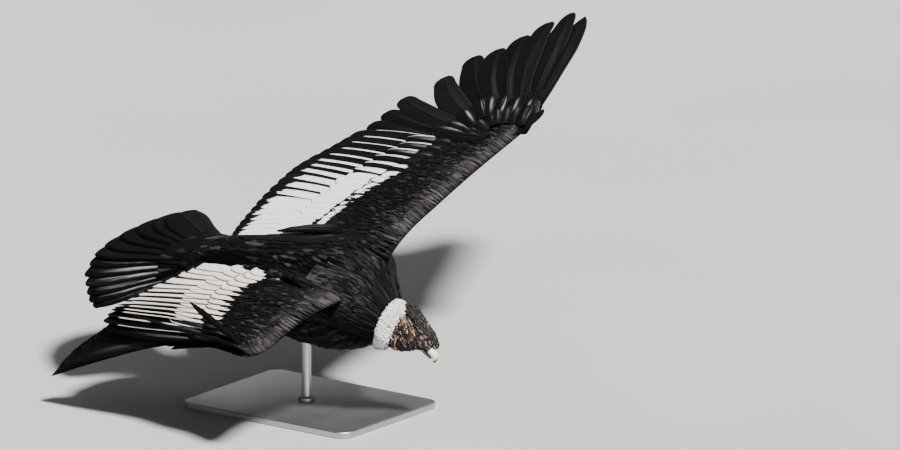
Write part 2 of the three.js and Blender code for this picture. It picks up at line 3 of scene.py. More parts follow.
import bpy
import numpy as np
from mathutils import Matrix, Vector


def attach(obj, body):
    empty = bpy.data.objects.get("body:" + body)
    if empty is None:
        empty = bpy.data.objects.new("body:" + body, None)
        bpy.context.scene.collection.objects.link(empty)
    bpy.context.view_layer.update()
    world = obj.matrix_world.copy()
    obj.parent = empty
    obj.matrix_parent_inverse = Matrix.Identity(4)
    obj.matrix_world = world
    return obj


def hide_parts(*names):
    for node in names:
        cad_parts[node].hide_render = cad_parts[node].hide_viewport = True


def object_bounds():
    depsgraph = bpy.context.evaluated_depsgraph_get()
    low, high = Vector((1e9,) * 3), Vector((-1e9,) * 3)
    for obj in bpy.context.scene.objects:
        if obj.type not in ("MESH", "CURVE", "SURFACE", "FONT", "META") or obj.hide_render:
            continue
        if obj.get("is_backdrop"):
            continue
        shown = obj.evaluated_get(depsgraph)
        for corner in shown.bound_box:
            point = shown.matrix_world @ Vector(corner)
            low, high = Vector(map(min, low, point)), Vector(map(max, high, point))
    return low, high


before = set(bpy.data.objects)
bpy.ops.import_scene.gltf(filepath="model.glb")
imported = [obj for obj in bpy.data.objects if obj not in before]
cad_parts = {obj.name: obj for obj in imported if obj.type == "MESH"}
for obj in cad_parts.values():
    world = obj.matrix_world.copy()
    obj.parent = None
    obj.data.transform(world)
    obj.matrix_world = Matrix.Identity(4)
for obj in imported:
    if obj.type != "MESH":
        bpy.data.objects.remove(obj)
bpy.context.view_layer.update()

# ROOM. A pale seamless floor under soft studio light: one broad key lamp high on the bird's
# right front, a weak one from behind and an even glow all round. The camera stands far off
# with a long lens, so the far wing keeps its size.
CAMERA_AZIMUTH = math.radians(36.76)
CAMERA_ELEVATION = math.radians(14.87)
CAMERA_AWAY = 47.96
CAMERA_LENS = 800
LOOKED_AT = Vector((0.2769, 0.1918, 0.4566))
FLOOR_HALF = 60


def from_afar(azimuth, elevation):
    """The unit vector towards a viewer or lamp: azimuth 0 is on -Y and 90 degrees on +X."""
    flat = math.cos(elevation)
    return Vector((math.sin(azimuth) * flat, -math.cos(azimuth) * flat, math.sin(elevation)))


camera = bpy.data.objects.new("camera", bpy.data.cameras.new("camera"))
bpy.context.scene.collection.objects.link(camera)
camera.data.lens = CAMERA_LENS
camera.data.sensor_width = 36
camera.data.clip_start = 1
camera.data.clip_end = 200
to_camera = from_afar(CAMERA_AZIMUTH, CAMERA_ELEVATION)
camera.location = LOOKED_AT + CAMERA_AWAY * to_camera
camera.rotation_mode = "QUATERNION"
camera.rotation_quaternion = (-to_camera).to_track_quat("-Z", "Y")
bpy.context.scene.camera = camera

for lamp, azimuth, elevation, watts, spread in (
    ("key_lamp", 68, 52, 10.5, 9),
    ("rim_lamp", 205, 40, 0.35, 30),
    ("fill_lamp", -10, 30, 0.16, 50),
):
    light = bpy.data.objects.new(lamp, bpy.data.lights.new(lamp, "SUN"))
    light.data.energy = watts
    light.data.angle = math.radians(spread)
    light.rotation_mode = "QUATERNION"
    way = from_afar(math.radians(azimuth), math.radians(elevation))
    light.rotation_quaternion = way.to_track_quat("Z", "Y")
    bpy.context.scene.collection.objects.link(light)

glow = bpy.data.worlds.new("studio_glow")
glow.use_nodes = True
glow.node_tree.nodes["Background"].inputs["Color"].default_value = (0.97, 0.98, 1.0, 1)
glow.node_tree.nodes["Background"].inputs["Strength"].default_value = 0.12
bpy.context.scene.world = glow


class Wire:
    """One output of a finish's nodes. Sums, differences and products of wires add Math nodes."""

    def __init__(self, tree, socket):
        self.tree, self.socket = tree, socket

    def add(self, kind, settings=None, inputs=None, out=0):
        """A new node: its settings are made first, then its sockets take values or wires."""
        node = self.tree.nodes.new("ShaderNode" + kind)
        for name, value in (settings or {}).items():
            setattr(node, name, value)
        self.feed(node, inputs or {})
        return Wire(self.tree, node.outputs[out])

    def feed(self, node, inputs):
        """Puts values and wires on a node's sockets."""
        for name, value in inputs.items():
            if isinstance(value, Wire):
                self.tree.links.new(value.socket, node.inputs[name])
            else:
                node.inputs[name].default_value = value

    def sum_of(self, operation, *values):
        return self.add("Math", {"operation": operation}, dict(enumerate(values)))

    def __add__(self, other):
        return self.sum_of("ADD", self, other)

    def __sub__(self, other):
        return self.sum_of("SUBTRACT", self, other)

    def __rsub__(self, other):
        return self.sum_of("SUBTRACT", other, self)

    def __mul__(self, other):
        return self.sum_of("MULTIPLY", self, other)

    __radd__, __rmul__ = __add__, __mul__

    def size(self):
        return self.sum_of("ABSOLUTE", self)

    def rise(self, low, high):
        """0 below low, 1 above high and a smooth rise between them."""
        ends = {"Value": self, "From Min": low, "From Max": high}
        return self.add("MapRange", {"interpolation_type": "SMOOTHSTEP"}, ends)

    def blend(self, first, second):
        """The first colour where this wire is 0 and the second where it is 1."""
        first, second = (c if isinstance(c, Wire) else (*c, 1) for c in (first, second))
        return self.add("Mix", {"data_type": "RGBA"}, {0: self, 6: first, 7: second}, 2)

    def stretched(self, x, y, z):
        """This vector wire with each of its parts multiplied."""
        return self.add("VectorMath", {"operation": "MULTIPLY"}, {0: self, 1: (x, y, z)})

    def noise(self, scale, detail=3, rough=0.55):
        """Cloudy values round 0.5 at this vector wire's place."""
        sockets = {"Vector": self, "Scale": scale, "Detail": detail, "Roughness": rough}
        return self.add("TexNoise", {}, sockets)

    def value_of(self, attribute):
        return self.add("Attribute", {"attribute_name": attribute}, {}, "Fac")

    def joined(self, x, y, z):
        """A vector wire of three values or wires."""
        return self.add("CombineXYZ", {}, {0: x, 1: y, 2: z})

    def bump(self, height, depth, strength=1.0):
        """A normal that is tilted as if the surface rose by height times depth metres."""
        sockets = {"Height": height, "Distance": depth, "Strength": strength}
        return self.add("Bump", {}, sockets, "Normal")


def new_finish(name):
    """A blank finish: the material, its shader and the wire of Object coordinates."""
    made = bpy.data.materials.new(name)
    made.use_nodes = True
    tree = made.node_tree
    place = Wire(tree, tree.nodes.new("ShaderNodeTexCoord").outputs["Object"])
    return made, tree.nodes["Principled BSDF"], place


def vane_wires(place):
    """Wires of a feather's own map, u across its vane and v along it, and of its tone."""
    vane = place.add("UVMap", {"uv_map": "Vane"})
    u, v = (vane.add("SeparateXYZ", {}, {0: vane}, part) for part in "XY")
    return u, v, place.value_of("tone")


floor_mesh = bpy.data.meshes.new("floor")
corners = [(x * FLOOR_HALF, y * FLOOR_HALF, 0) for x, y in ((-1, -1), (1, -1), (1, 1), (-1, 1))]
floor_mesh.from_pydata(corners, [], [(0, 1, 2, 3)])
floor = bpy.data.objects.new("floor", floor_mesh)
bpy.context.scene.collection.objects.link(floor)
floor_finish, shader, place = new_finish("floor_paint")
mottle = place.noise(0.7, 2).rise(0.3, 0.7)
floor_color = mottle.blend((0.42, 0.415, 0.405), (0.45, 0.445, 0.435))
place.feed(shader, {"Base Color": floor_color, "Roughness": 0.9})
floor_mesh.materials.append(floor_finish)
floor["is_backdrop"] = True

# SKIN. The bird's body under its feathers, one skin from the rump over the breast, down the
# neck, through the ruff and over the bare head to the bill, stuffed and drawn tight. On the head
# the skin hangs in thick folds, tan on their crests and nearly black between them: partly the
# skin's own colour, partly a painted highlight on the crests and painted shade in the creases.
PITCH, BANK = math.radians(7.52), math.radians(13.54)
LIFT = np.array([60.0, 0.0, 372.0])


def posed(points):
    """Body millimetres (x ahead, y left, z up, from between the shoulders) as room metres:
    banked round x, pitched round y and lifted over the base."""
    points = np.asarray(points, float)
    x, y, z = points[..., 0], points[..., 1], points[..., 2]
    y, z = y * math.cos(BANK) - z * math.sin(BANK), y * math.sin(BANK) + z * math.cos(BANK)
    x, z = x * math.cos(PITCH) - z * math.sin(PITCH), x * math.sin(PITCH) + z * math.cos(PITCH)
    return (np.stack([x, y, z], -1) + LIFT) / 1000


def through(knots, t):
    """A smooth run through knots at the places t. Column 0 of the knots is the place, the rest
    are values: a cubic in each span, with the mean of its neighbours' slopes at each knot."""
    knots = np.asarray(knots, float)
    x, values = knots[:, 0], knots[:, 1:]
    slope = np.gradient(values, x, axis=0)
    t = np.clip(np.asarray(t, float), x[0], x[-1])
    i = np.clip(np.searchsorted(x, t) - 1, 0, len(x) - 2)
    span = (x[i + 1] - x[i])[:, None]
    u = (t - x[i])[:, None] / span
    near = (2 * u**3 - 3 * u**2 + 1) * values[i] + (u**3 - 2 * u**2 + u) * span * slope[i]
    far = (3 * u**2 - 2 * u**3) * values[i + 1] + (u**3 - u**2) * span * slope[i + 1]
    return near + far


def unit(vectors):
    return vectors / np.linalg.norm(vectors, axis=-1, keepdims=True)


def ramp(values, start, over):
    """0 up to start, 1 from start plus over onwards, and a straight rise between them."""
    return np.clip((values - start) / over, 0, 1)


def bell(values, wide, power=2):
    """1 at 0, with a smooth fall to nearly 0 past wide on both sides."""
    return np.exp(-((values / wide) ** power))


def rings(centre, wide, high, side, rise, count):
    """Oval rings round a path: centre + wide cos(a) side + high sin(a) rise. side and rise are
    one vector each, or one for each ring."""
    a = 2 * np.pi * np.arange(count) / count
    side, rise = (np.broadcast_to(v, centre.shape)[:, None, :] for v in (side, rise))
    across = wide[:, None, None] * np.cos(a)[None, :, None] * side
    upward = high[:, None, None] * np.sin(a)[None, :, None] * rise
    return centre[:, None, :] + across + upward


def make_piece(name, shells, finish, nodes, maps=(), values=None):
    """A mesh of closed shells from an array (shells, stations, around, 3) in body millimetres.
    Each shell's ends are closed by a row of quads, and a shell that holds a negative volume has
    its faces turned to point outwards. maps are the feathers' own UV map and the one for baking,
    of the same shape with 2 at the end, values are point numbers of the shape without it."""
    shells = posed(shells if shells.ndim == 4 else shells[None])
    count, stations, around = shells.shape[:3]
    index = np.arange(count * stations * around).reshape(count, stations, around)
    a, b = index[:, :-1], np.roll(index[:, :-1], -1, 2)
    c, d = np.roll(index[:, 1:], -1, 2), index[:, 1:]
    walls = np.stack([a, b, c, d], -1).reshape(count, -1, 4)
    near = np.arange(around // 2 - 1)
    quad = near, around - 1 - near, around - 2 - near, near + 1
    first, last = (np.stack([index[:, end, k] for k in quad], -1) for end in (0, -1))
    faces = np.concatenate([walls, first[:, :, ::-1], last], 1)
    middle = shells.reshape(count, -1, 3).mean(1)[:, None]
    p, q, r, s = (shells.reshape(-1, 3)[faces[..., k]] - middle for k in range(4))
    volume = (p * (np.cross(q, r) + np.cross(r, s))).sum((1, 2))
    faces = np.where(volume[:, None, None] < 0, faces[..., ::-1], faces).reshape(-1, 4)
    mesh = bpy.data.meshes.new(name)
    mesh.vertices.add(index.size)
    mesh.vertices.foreach_set("co", shells.ravel().astype(np.float32))
    mesh.loops.add(faces.size)
    mesh.loops.foreach_set("vertex_index", faces.ravel().astype(np.int32))
    mesh.polygons.add(len(faces))
    mesh.polygons.foreach_set("loop_start", np.arange(0, faces.size, 4, dtype=np.int32))
    mesh.polygons.foreach_set("use_smooth", np.ones(len(faces), bool))
    mesh.update(calc_edges=True)
    for label, flat in zip(("Vane", "OFBake"), maps):
        layer = mesh.uv_layers.new(name=label)
        layer.data.foreach_set("uv", flat.reshape(-1, 2)[faces.ravel()].ravel().astype(np.float32))
    for label, numbers in (values or {}).items():
        numbers = np.broadcast_to(numbers, index.shape)
        layer = mesh.attributes.new(label, "FLOAT", "POINT")
        layer.data.foreach_set("value", numbers.ravel().astype(np.float32))
    piece = bpy.data.objects.new(name, mesh)
    bpy.context.scene.collection.objects.link(piece)
    mesh.materials.append(finish)
    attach(piece, "root")
    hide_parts(*nodes)


def square_to(way, vector):
    """The part of a vector at right angles to a way, made 1 long."""
    return unit(vector - (vector @ way) * way)


# The head's own axes: h along the bill, s to its left side, d towards the crown.
HEAD_AT = np.array([203.0, -35.0, -153.0])
HEAD_H = unit(np.array([0.537, 0.038, -0.843]))
HEAD_S = square_to(HEAD_H, np.array([-0.42, 0.88, -0.22]))
HEAD_D = np.cross(HEAD_H, HEAD_S)


def at_head(h, s, d):
    h, s, d = (np.asarray(v, float)[..., None] for v in (h, s, d))
    return HEAD_AT + h * HEAD_H + s * HEAD_S + d * HEAD_D


def along_head(points):
    """The h and d of points."""
    from_head = points - HEAD_AT
    return from_head @ HEAD_H, from_head @ HEAD_D


SIDE_Y, RISE_Z = np.array([0.0, 1.0, 0.0]), np.array([0.0, 0.0, 1.0])
RUFF_AT = at_head(-26, 0, -20)
RUFF_N = unit(np.array([0.869, 0.02, -0.493]))
RUFF_SIDE = square_to(RUFF_N, SIDE_Y)
RUFF_RISE = np.cross(RUFF_N, RUFF_SIDE)

# Body stations as [x, middle height, half width, half height], then the skull's as
# [h, d, half width, half height]. Feathers stand DEPTH proud of the skin of body and neck.
DEPTH = 9
TORSO = [
    [-418, -4, 24, 8],
    [-405, -6, 50, 20],
    [-350, -20, 88, 48],
    [-280, -42, 116, 76],
    [-190, -62, 137, 94],
    [-90, -81, 148, 109],
    [10, -95, 149, 119],
    [80, -101, 127, 111],
    [122, -109, 81, 88],
]
SKULL = [
    [-2, -17, 34, 43],
    [14, -17, 31, 43],
    [28, -12, 27, 38],
    [44, -7, 21, 29],
    [58, 2, 15.5, 19],
    [66, 7, 12.6, 13.6],
]
knots = [[x, 0, z, wide - DEPTH, high - DEPTH, *SIDE_Y, *RISE_Z] for x, z, wide, high in TORSO]
body_end, neck_end = np.array([122, 0, -109]), RUFF_AT - 20 * RUFF_N
for t in (0.4, 0.8):
    middle = (1 - t) * body_end + t * neck_end - 10 * SIDE_Y
    side, rise = unit((1 - t) * SIDE_Y + t * RUFF_SIDE), unit((1 - t) * RISE_Z + t * RUFF_RISE)
    knots.append([*middle, 76 - 32 * t - DEPTH, 88 - 30 * t - DEPTH, *side, *rise])
for under_ruff, wide, high in ((-6, 40, 47), (8, 39, 46)):
    knots.append([*(RUFF_AT + under_ruff * RUFF_N), wide, high, *RUFF_SIDE, *RUFF_RISE])
for h, d, wide, high in SKULL:
    knots.append([*at_head(h, 0, d), wide, high, *HEAD_S, *HEAD_D])
knots = np.array(knots)
steps = np.linalg.norm(np.diff(knots[:, :3], axis=0), axis=1)
knots = np.column_stack([np.r_[0, np.cumsum(steps)], knots])
SKIN_RUFF, SKIN_END = knots[-2 - len(SKULL), 0], knots[-1, 0]


def outward(grid):
    """Unit normals of rings of points: the way round crossed with the way along."""
    along = np.gradient(grid, axis=-3)
    round_it = np.roll(grid, -1, -2) - np.roll(grid, 1, -2)
    return unit(np.cross(round_it, along))


def waves(points, reach, seed, count=9):
    """Smooth unevenness between about -1 and 1: a sum of sine waves of seeded directions, each
    about reach millimetres long."""
    chance = np.random.default_rng(seed)
    ways = unit(chance.normal(size=(count, 3))) * (2 * np.pi / reach)
    ways = ways * chance.uniform(0.6, 1.6, (count, 1))
    phase = chance.uniform(0, 2 * np.pi, count)
    return np.sin(points @ ways.T + phase).sum(-1) / math.sqrt(count)


# Folds of the face and throat as points (h, d) of the crest, half width, height and how pale
# the crest is painted, which is partly a painted highlight. Both sides have them.
FOLDS = [
    ([(-25, 18), (-16.5, 19.5), (-8, 16)], 2.8, 2.6, 1),
    ([(-8, 16), (2.5, 13), (17, 5.5)], 2, 2.4, 0.8),
    ([(-19.5, 30), (-6, 25.5), (8, 21.5), (20, 18.5), (31, 12.5)], 1.7, 2.2, 0.7),
    ([(-8.5, 22.5), (3, 19), (13.5, 14)], 1.1, 1.4, 0.5),
    ([(-19, 9.5), (-14.5, 0.5), (-8.5, -6.5), (-0.5, -10.5)], 1.8, 2, 0.7),
    ([(-10, 0.5), (-9, 7.5), (-3.5, 10), (3.5, 8)], 1.2, 1.8, 0.6),
    ([(-0.5, -7.5), (6, -5.5), (10, 0.5)], 1.2, 1.5, 0.45),
    ([(-12.5, -24), (-5, -23.5), (1.5, -21.5)], 1.9, 2, 0.8),
    ([(-7.5, -35), (-0.5, -32), (8.5, -29.5)], 1.2, 2, 0.7),
    ([(-4, -40), (3, -37), (12.5, -35)], 1.2, 2, 0.75),
    ([(-0.5, -45.5), (6, -42.5), (14, -41)], 1.2, 2, 0.7),
    ([(4, -23), (11.5, -32), (17, -39), (25.5, -44.5), (30, -51.5)], 1.8, 2.6, 1),
    ([(7, -17.5), (9, -24), (12, -30.5)], 1.8, 2, 0.9),
    ([(12.5, -16), (22, -18.5), (30.5, -20.5), (38, -21)], 1.3, 2, 0.85),
    ([(13.5, -11), (23, -12), (31.5, -14)], 1.2, 1.8, 0.8),
    ([(18, -7.5), (26, -8.5), (33.5, -11.5)], 1.2, 1.8, 0.6),
    ([(20, -28), (29.5, -31), (38.5, -35.5)], 1.4, 1.6, 0.3),
    ([(30.5, -6.5), (39, -11.5), (48.5, -16), (58, -21)], 1.3, 2, 0.7),
    ([(35, -4.5), (42.5, -9), (51, -14.5)], 1.1, 1.6, 0.5),
    ([(48.5, -1.5), (57, -7)], 3, 2.6, 0.4),
    ([(9, -53), (12.5, -47), (20, -48), (25, -54), (24.5, -61), (18.5, -63)], 1.4, 2.4, 0.5),
    ([(36, -44), (42.5, -44), (50, -35)], 3.4, 2.6, 0.1),
    ([(53.5, -29.5), (63, -25.5), (66.5, -16.5)], 3.4, 2.6, 0.1),
    ([(-23, -2.5), (-19, -12), (-14, -20)], 1.4, 1.6, 0.2),
    ([(16, -1), (22.5, -3.5), (28.5, -5.5)], 1.2, 1.5, 0.4),
    ([(48.5, 7.5), (60, 5), (70.5, 4.5)], 2, 1.6, 0.2),
]


def crest_distance(h, d, line):
    """The shortest way from each (h, d) to a line of short straight spans."""
    best = np.full(h.shape, 1e3)
    for (h0, d0), (h1, d1) in zip(line[:-1], line[1:]):
        run = (h1 - h0) ** 2 + (d1 - d0) ** 2
        t = np.clip(((h - h0) * (h1 - h0) + (d - d0) * (d1 - d0)) / run, 0, 1)
        best = np.minimum(best, np.hypot(h - h0 - t * (h1 - h0), d - d0 - t * (d1 - d0)))
    return best


# Rows of the skin lie about 9 mm apart under feathers and half a millimetre apart on the head.
places = np.r_[np.linspace(0, SKIN_RUFF, 70)[:-1], np.linspace(SKIN_RUFF, SKIN_END, 230)]
row = through(knots, places)
skin = rings(row[:, :3], row[:, 3], row[:, 4], unit(row[:, 5:8]), unit(row[:, 8:11]), 320)
normal = outward(skin)
h, d = along_head(skin)
bare = ramp(places - SKIN_RUFF, 4, 8)[:, None] * np.ones_like(h)
shift_h = h + 0.9 * waves(skin, 15, 3)
shift_d = d + 0.9 * waves(skin, 13, 4)
height, pale = np.zeros_like(h), np.zeros_like(h)
for line, half, tall, tint in FOLDS:
    crest = bell(crest_distance(shift_h, shift_d, line), 1.08 * half)
    height = np.maximum(height, tall * crest)
    pale = np.maximum(pale, tint * crest)

# Fine wrinkles fill the skin between the folds. Their lie differs on cheek, throat and chin.
cheek, fore = ramp(d, -20, 14), ramp(h, 2, 10)
bend = 1.5 * waves(skin, 24, 5)


def wrinkles(by_d, by_h, apart):
    """Bent waves so many millimetres apart, across the way that by_d and by_h give."""
    return np.sin(2 * np.pi * (by_d * shift_d + by_h * shift_h) / apart + bend)


throat = (1 - fore) * wrinkles(0.86, -0.5, 4.8) + fore * wrinkles(0.86, 0.5, 6.0)
lines = cheek * wrinkles(1, 0.25, 4.6) + (1 - cheek) * throat
wrinkle = ramp(lines, 0.1, 0.9) * np.clip(0.85 + 0.5 * waves(skin, 18, 9), 0, 1)
height = 1.9 * height - 2.6 + 1.7 * wrinkle + 0.8 * waves(skin, 11, 6)
# Painted shade: in front of and below the eye, towards the bill, the pale wrinkle crests are left out,
# so the skin is painted dark there.
painted_face_shade = ramp(h, 22, 16) * ramp(-d, -4, 12)
pale_wrinkle = 0.62 * wrinkle * (1 + 0.8 * waves(skin, 16, 8)) * (1 - painted_face_shade)
pale = np.maximum(pale * (0.72 + 0.5 * waves(skin, 5, 7)), pale_wrinkle)
from_eye = np.hypot(h - 4, (d - 2) * 1.25)
height = height + 1.4 * bell(from_eye - 8.2, 1.8) - 4.5 * bell(from_eye, 5.6, 4)
ease_out = ramp(SKIN_END - places, 0, 6)[:, None]
skin = skin + normal * (height * bare * ease_out)[..., None]

skin_finish, shader, place = new_finish("bare_skin")
crests, is_bare = place.value_of("pale"), place.value_of("bare")
speck = place.noise(420, 4, 0.65)
cloud = place.noise(60, 3)
# Crests are painted tan and the skin between them near black: partly the skin's own colour, partly a
# painted highlight on the crests and painted shade in the creases.
raised = (crests * (0.75 + 0.6 * cloud)).rise(0.32, 0.85)
tan = speck.rise(0.25, 0.75).blend((0.26, 0.13, 0.075), (0.62, 0.42, 0.30))
skin_tone = raised.blend((0.0022, 0.0015, 0.0014), tan)
place.feed(
    shader,
    {
        "Base Color": is_bare.blend((0.0015, 0.0014, 0.0015), skin_tone),
        "Specular IOR Level": 0.3,
        "Roughness": 0.62 - 0.2 * raised,
        "Normal": place.bump(speck + 0.5 * place.noise(900, 2), 0.0006, 0.7),
    },
)
skin_nodes = ("torso", "neck", "throat", "head")
make_piece("skin", skin, skin_finish, skin_nodes, (), {"pale": pale, "bare": bare})

# BODY FEATHERS. Small overlapping contour feathers over breast, belly, back and rump, and
# narrow hair-like ones down the neck. They are rooted in the skin in staggered rows and lie
# back towards the tail. They are black, each of a slightly different tone.
CONTOUR = [[0, 0.35], [0.3, 0.85], [0.65, 1], [0.88, 0.78], [1, 0.2]]
HAIR = [[0, 0.5], [0.4, 1], [0.8, 0.6], [1, 0.12]]


def on_ovals(row, side, rise, angle, proud):
    """Points at angles round ovals, whose rows are x, y, z, half width and half height."""
    wide, high = (row[:, 3] + proud) * np.cos(angle), (row[:, 4] + proud) * np.sin(angle)
    return row[:, :3] + wide[:, None] * side + high[:, None] * rise


def skin_at(place, angle, proud=0.0):
    """Points of the skin at lengths along it and angles round it."""
    row = through(knots, place)
    return on_ovals(row, unit(row[:, 5:8]), unit(row[:, 8:11]), angle, proud)


def vanes(
    root, tip, up, wide, outline, stations, across, hand=1, share=0.5, lean=0, sag=0, bow=0,
    thick=0.7, camber=0.1, quill=0, taper=1,
):
    """Thin closed feathers (n, stations, around, 3) and their (n, stations, around, 2) maps.
    The shaft goes from root to tip, lifted by sag and pushed outwards by bow at its middle. At
    each part of the length the vane is wide times the outline's size, share of it on the outer
    side. It leans up outwards, also by a number for each station, and its edges drop by camber
    times the square of the way out. taper narrows it station by station."""
    n = len(root)
    up = np.broadcast_to(up, root.shape)

    def column(values):
        return np.broadcast_to(np.asarray(values, float), n)[:, None, None]

    lean = lean[:, :, None] if np.ndim(lean) == 2 else column(lean)
    t = 1 - (1 - np.linspace(0, 1, stations)) ** 1.4
    size = through(outline, t)[:, 0][None, :, None] * np.atleast_2d(taper)[:, :, None]
    a = np.r_[across, across[::-1]][None, None, :]
    face = np.repeat([1.0, -1.0], len(across))[None, None, :]
    share = column(share)
    part = np.where(a > 0, a * share, a * (1 - share))
    x = part * column(wide) * size
    thin = 0.5 * column(thick) * (1 - 0.55 * t)[None, :, None] * (0.16 + 0.84 * np.sqrt(1 - a**2))
    shaft = column(quill) * (1 - 0.85 * t)[None, :, None] * bell(a, 0.05)
    z = lean * x - column(camber) * x**2 / column(wide) + face * (thin + shaft)
    side = unit(np.cross(unit(tip - root), up)) * column(hand)[:, 0]
    arc = (4 * t * (1 - t))[None, :, None]
    centre = root[:, None] + t[None, :, None] * (tip - root)[:, None]
    centre = centre + arc * (column(sag) * up[:, None] + column(bow) * side[:, None])
    shells = centre[:, :, None] + x[..., None] * side[:, None, None] + z[..., None] * up[:, None, None]
    maps = np.stack([part + (1 - share) + 0 * x, np.broadcast_to(t[None, :, None], x.shape)], -1)
    return shells, maps


def patches(u, v, maps):
    """The map of a coat for baking: each feather is a patch 0.003 across at its root's place."""
    return np.stack([u, v], -1)[:, None, None] + (maps - 0.5) * 0.003


def per_feather(values):
    return np.asarray(values, float)[:, None, None]


def add_coat(name, made, u, v, tone, finish, nodes):
    """A piece of small feathers that vanes has made, each with its place for baking and tone."""
    shells, maps = made
    maps = maps, patches(u, v, maps)
    make_piece(name, shells, finish, nodes, maps, {"tone": per_feather(tone)})


def black_plumage(name, dark, light, gloss):
    """Black feather: barbs run slanting out from the shaft; lighter streaks along them are painted
    sheen glints in the light colour, each feather's tone differs a little, and the vane is a
    little glossy."""
    made, shader, place = new_finish(name)
    u, v, tone = vane_wires(place)
    barb = place.joined(u * 1.4, v * 34 - (u - 0.5).size() * 9, tone * 60).noise(2.2, 4, 0.7)
    # Painted highlight: where barbs, tone and noise run high the black is painted in the lighter glint
    # colour.
    painted_glint = (barb * 1.2 + tone + place.noise(26, 3) * 0.5 - 1.08).rise(0.0, 0.95)
    place.feed(
        shader,
        {
            "Base Color": painted_glint.blend(dark, light),
            "Roughness": gloss + 0.22 * barb - 0.12 * tone,
            "Normal": place.bump(barb, 0.0012, 0.55),
            "Specular IOR Level": 0.08,
            "Sheen Weight": 0.005,
            "Sheen Roughness": 0.4,
        },
    )
    return made


draw = np.random.default_rng(11)
SMALL_ACROSS = (-1, 0, 1)
# The light colour is the colour of the painted sheen glints.
body_black = black_plumage("body_black", (0.0006, 0.0005, 0.0006), (0.056, 0.051, 0.049), 0.46)


def contour_coat(name, first, last, length, wide, row_share, outline, proud):
    """Rows of feathers between two lengths of the skin: their roots a row_share of their length
    apart along it and 0.6 of their width apart round it, each tip proud of the skin."""
    rows = np.arange(first, last, row_share * length)
    wide_at, high_at = through(knots, rows)[:, 3:5].T
    counts = np.round(np.pi * (wide_at + high_at) / (0.6 * wide)).astype(int)
    in_row = np.repeat(counts, counts)
    place = np.repeat(rows, counts)
    n = len(place)
    step = np.arange(n) - np.repeat(np.cumsum(counts) - counts, counts)
    angle = 2 * np.pi * (step + 0.5 * (np.repeat(np.arange(len(rows)), counts) % 2)) / in_row
    place = place + draw.uniform(-0.25, 0.25, n) * row_share * length
    angle = angle + draw.uniform(-0.22, 0.22, n) * 2 * np.pi / in_row
    size = draw.uniform(0.85, 1.18, n)
    root = skin_at(place, angle, 0.5)
    turn = draw.normal(0, 0.035, n)
    tip = skin_at(place - length * size, angle + turn, proud * draw.uniform(0.75, 1.25, n))
    up = unit(skin_at(place, angle, 10) - root)
    made = vanes(root, tip, up, wide * size, outline, 5, SMALL_ACROSS, sag=1.2, thick=0.45, camber=0.2)
    u, v, tone = place / SKIN_END, angle / (2 * np.pi) % 1, 0.6 * draw.uniform(0, 1, n) ** 3
    add_coat(name, made, u, v, tone, body_black, ("torso", "neck"))


contour_coat("body_feathers", 12, SKIN_RUFF - 74, 42, 15, 0.36, CONTOUR, DEPTH - 1)
contour_coat("neck_feathers", SKIN_RUFF - 92, SKIN_RUFF - 4, 26, 7, 0.26, HAIR, DEPTH)

# RUFF. A thick collar of pure white down where the feathered neck ends, a ring of soft tufts
# that curl outwards and back; its lower end is thinner and painted a little grey as shade.
RUFF_WIDE, RUFF_HIGH = 60, 68
RUFF_ROWS = np.linspace(-8, 17, 15)
TUFTS_ROUND = 215
RUFF_SIZE = [[-19, 0.66], [-12, 0.8], [-4, 0.88], [6, 0.86], [11, 0.76], [15, 0.63], [18, 0.5]]
TUFT = [[0, 0.8], [0.5, 1], [0.85, 0.9], [1, 0.5]]


def numbered(rows, steps):
    """The row and the step in it of every feather of a patch."""
    row, step = np.meshgrid(np.arange(rows), np.arange(steps), indexing="ij")
    return row.ravel(), step.ravel()


def scattered(row, step):
    """The steps of staggered rows, each moved by up to 0.4 of a step."""
    return step + 0.5 * (row % 2) + draw.uniform(-0.4, 0.4, row.size)


def on_ruff(angle, along, size):
    """Points round the collar: its oval times size, so far along the neck's way out."""
    wide, high = np.cos(angle)[:, None] * RUFF_WIDE, np.sin(angle)[:, None] * RUFF_HIGH
    return RUFF_AT + along[:, None] * RUFF_N + size[:, None] * (wide * RUFF_SIDE + high * RUFF_RISE)


core_along = np.linspace(-8, 14, 9)
core_size = through(RUFF_SIZE, core_along)[:, 0]
core = RUFF_AT + core_along[:, None] * RUFF_N
core_wide, core_high = 0.96 * core_size * RUFF_WIDE, 0.96 * core_size * RUFF_HIGH
collar = rings(core, core_wide, core_high, RUFF_SIDE, RUFF_RISE, 96)

row, step = numbered(len(RUFF_ROWS), TUFTS_ROUND)
along = RUFF_ROWS[row] + draw.uniform(-1, 1, row.size)
angle = 2 * np.pi * scattered(row, step) / TUFTS_ROUND
size = through(RUFF_SIZE, along)[:, 0]
root = on_ruff(angle, along, size - 0.08)
lump = waves(on_ruff(angle, along, size), 17, 21)
reach = draw.uniform(0.10, 0.125, row.size) + 0.025 * lump
slant = np.radians(-15 + 75 * ramp(along, 0, 17))
forward = along + RUFF_WIDE * reach * np.sin(slant) + draw.normal(0, 1.2, row.size)
low_end = ramp(-np.sin(angle + 0.25), 0.55, 0.4)
curl = draw.normal(0, 0.04 + 0.1 * low_end, row.size)
reach = reach + draw.uniform(-0.04, 0.09, row.size) * low_end * ramp(-along, -8, 12)
forward = forward - draw.uniform(0, 7, row.size) * low_end
tip = on_ruff(angle + curl, forward, np.minimum(size + reach * np.cos(slant), 1.09))
up = unit(np.cross(unit(tip - root), draw.normal(size=tip.shape)))
wide, sag = draw.uniform(4, 6.5, row.size), draw.normal(0, 1.6, row.size)
shells, maps = vanes(root, tip, up, wide, TUFT, 5, SMALL_ACROSS, sag=sag, thick=2.2, camber=0.7)
bake = patches((along + 20) / 40, angle / (2 * np.pi) % 1, maps)

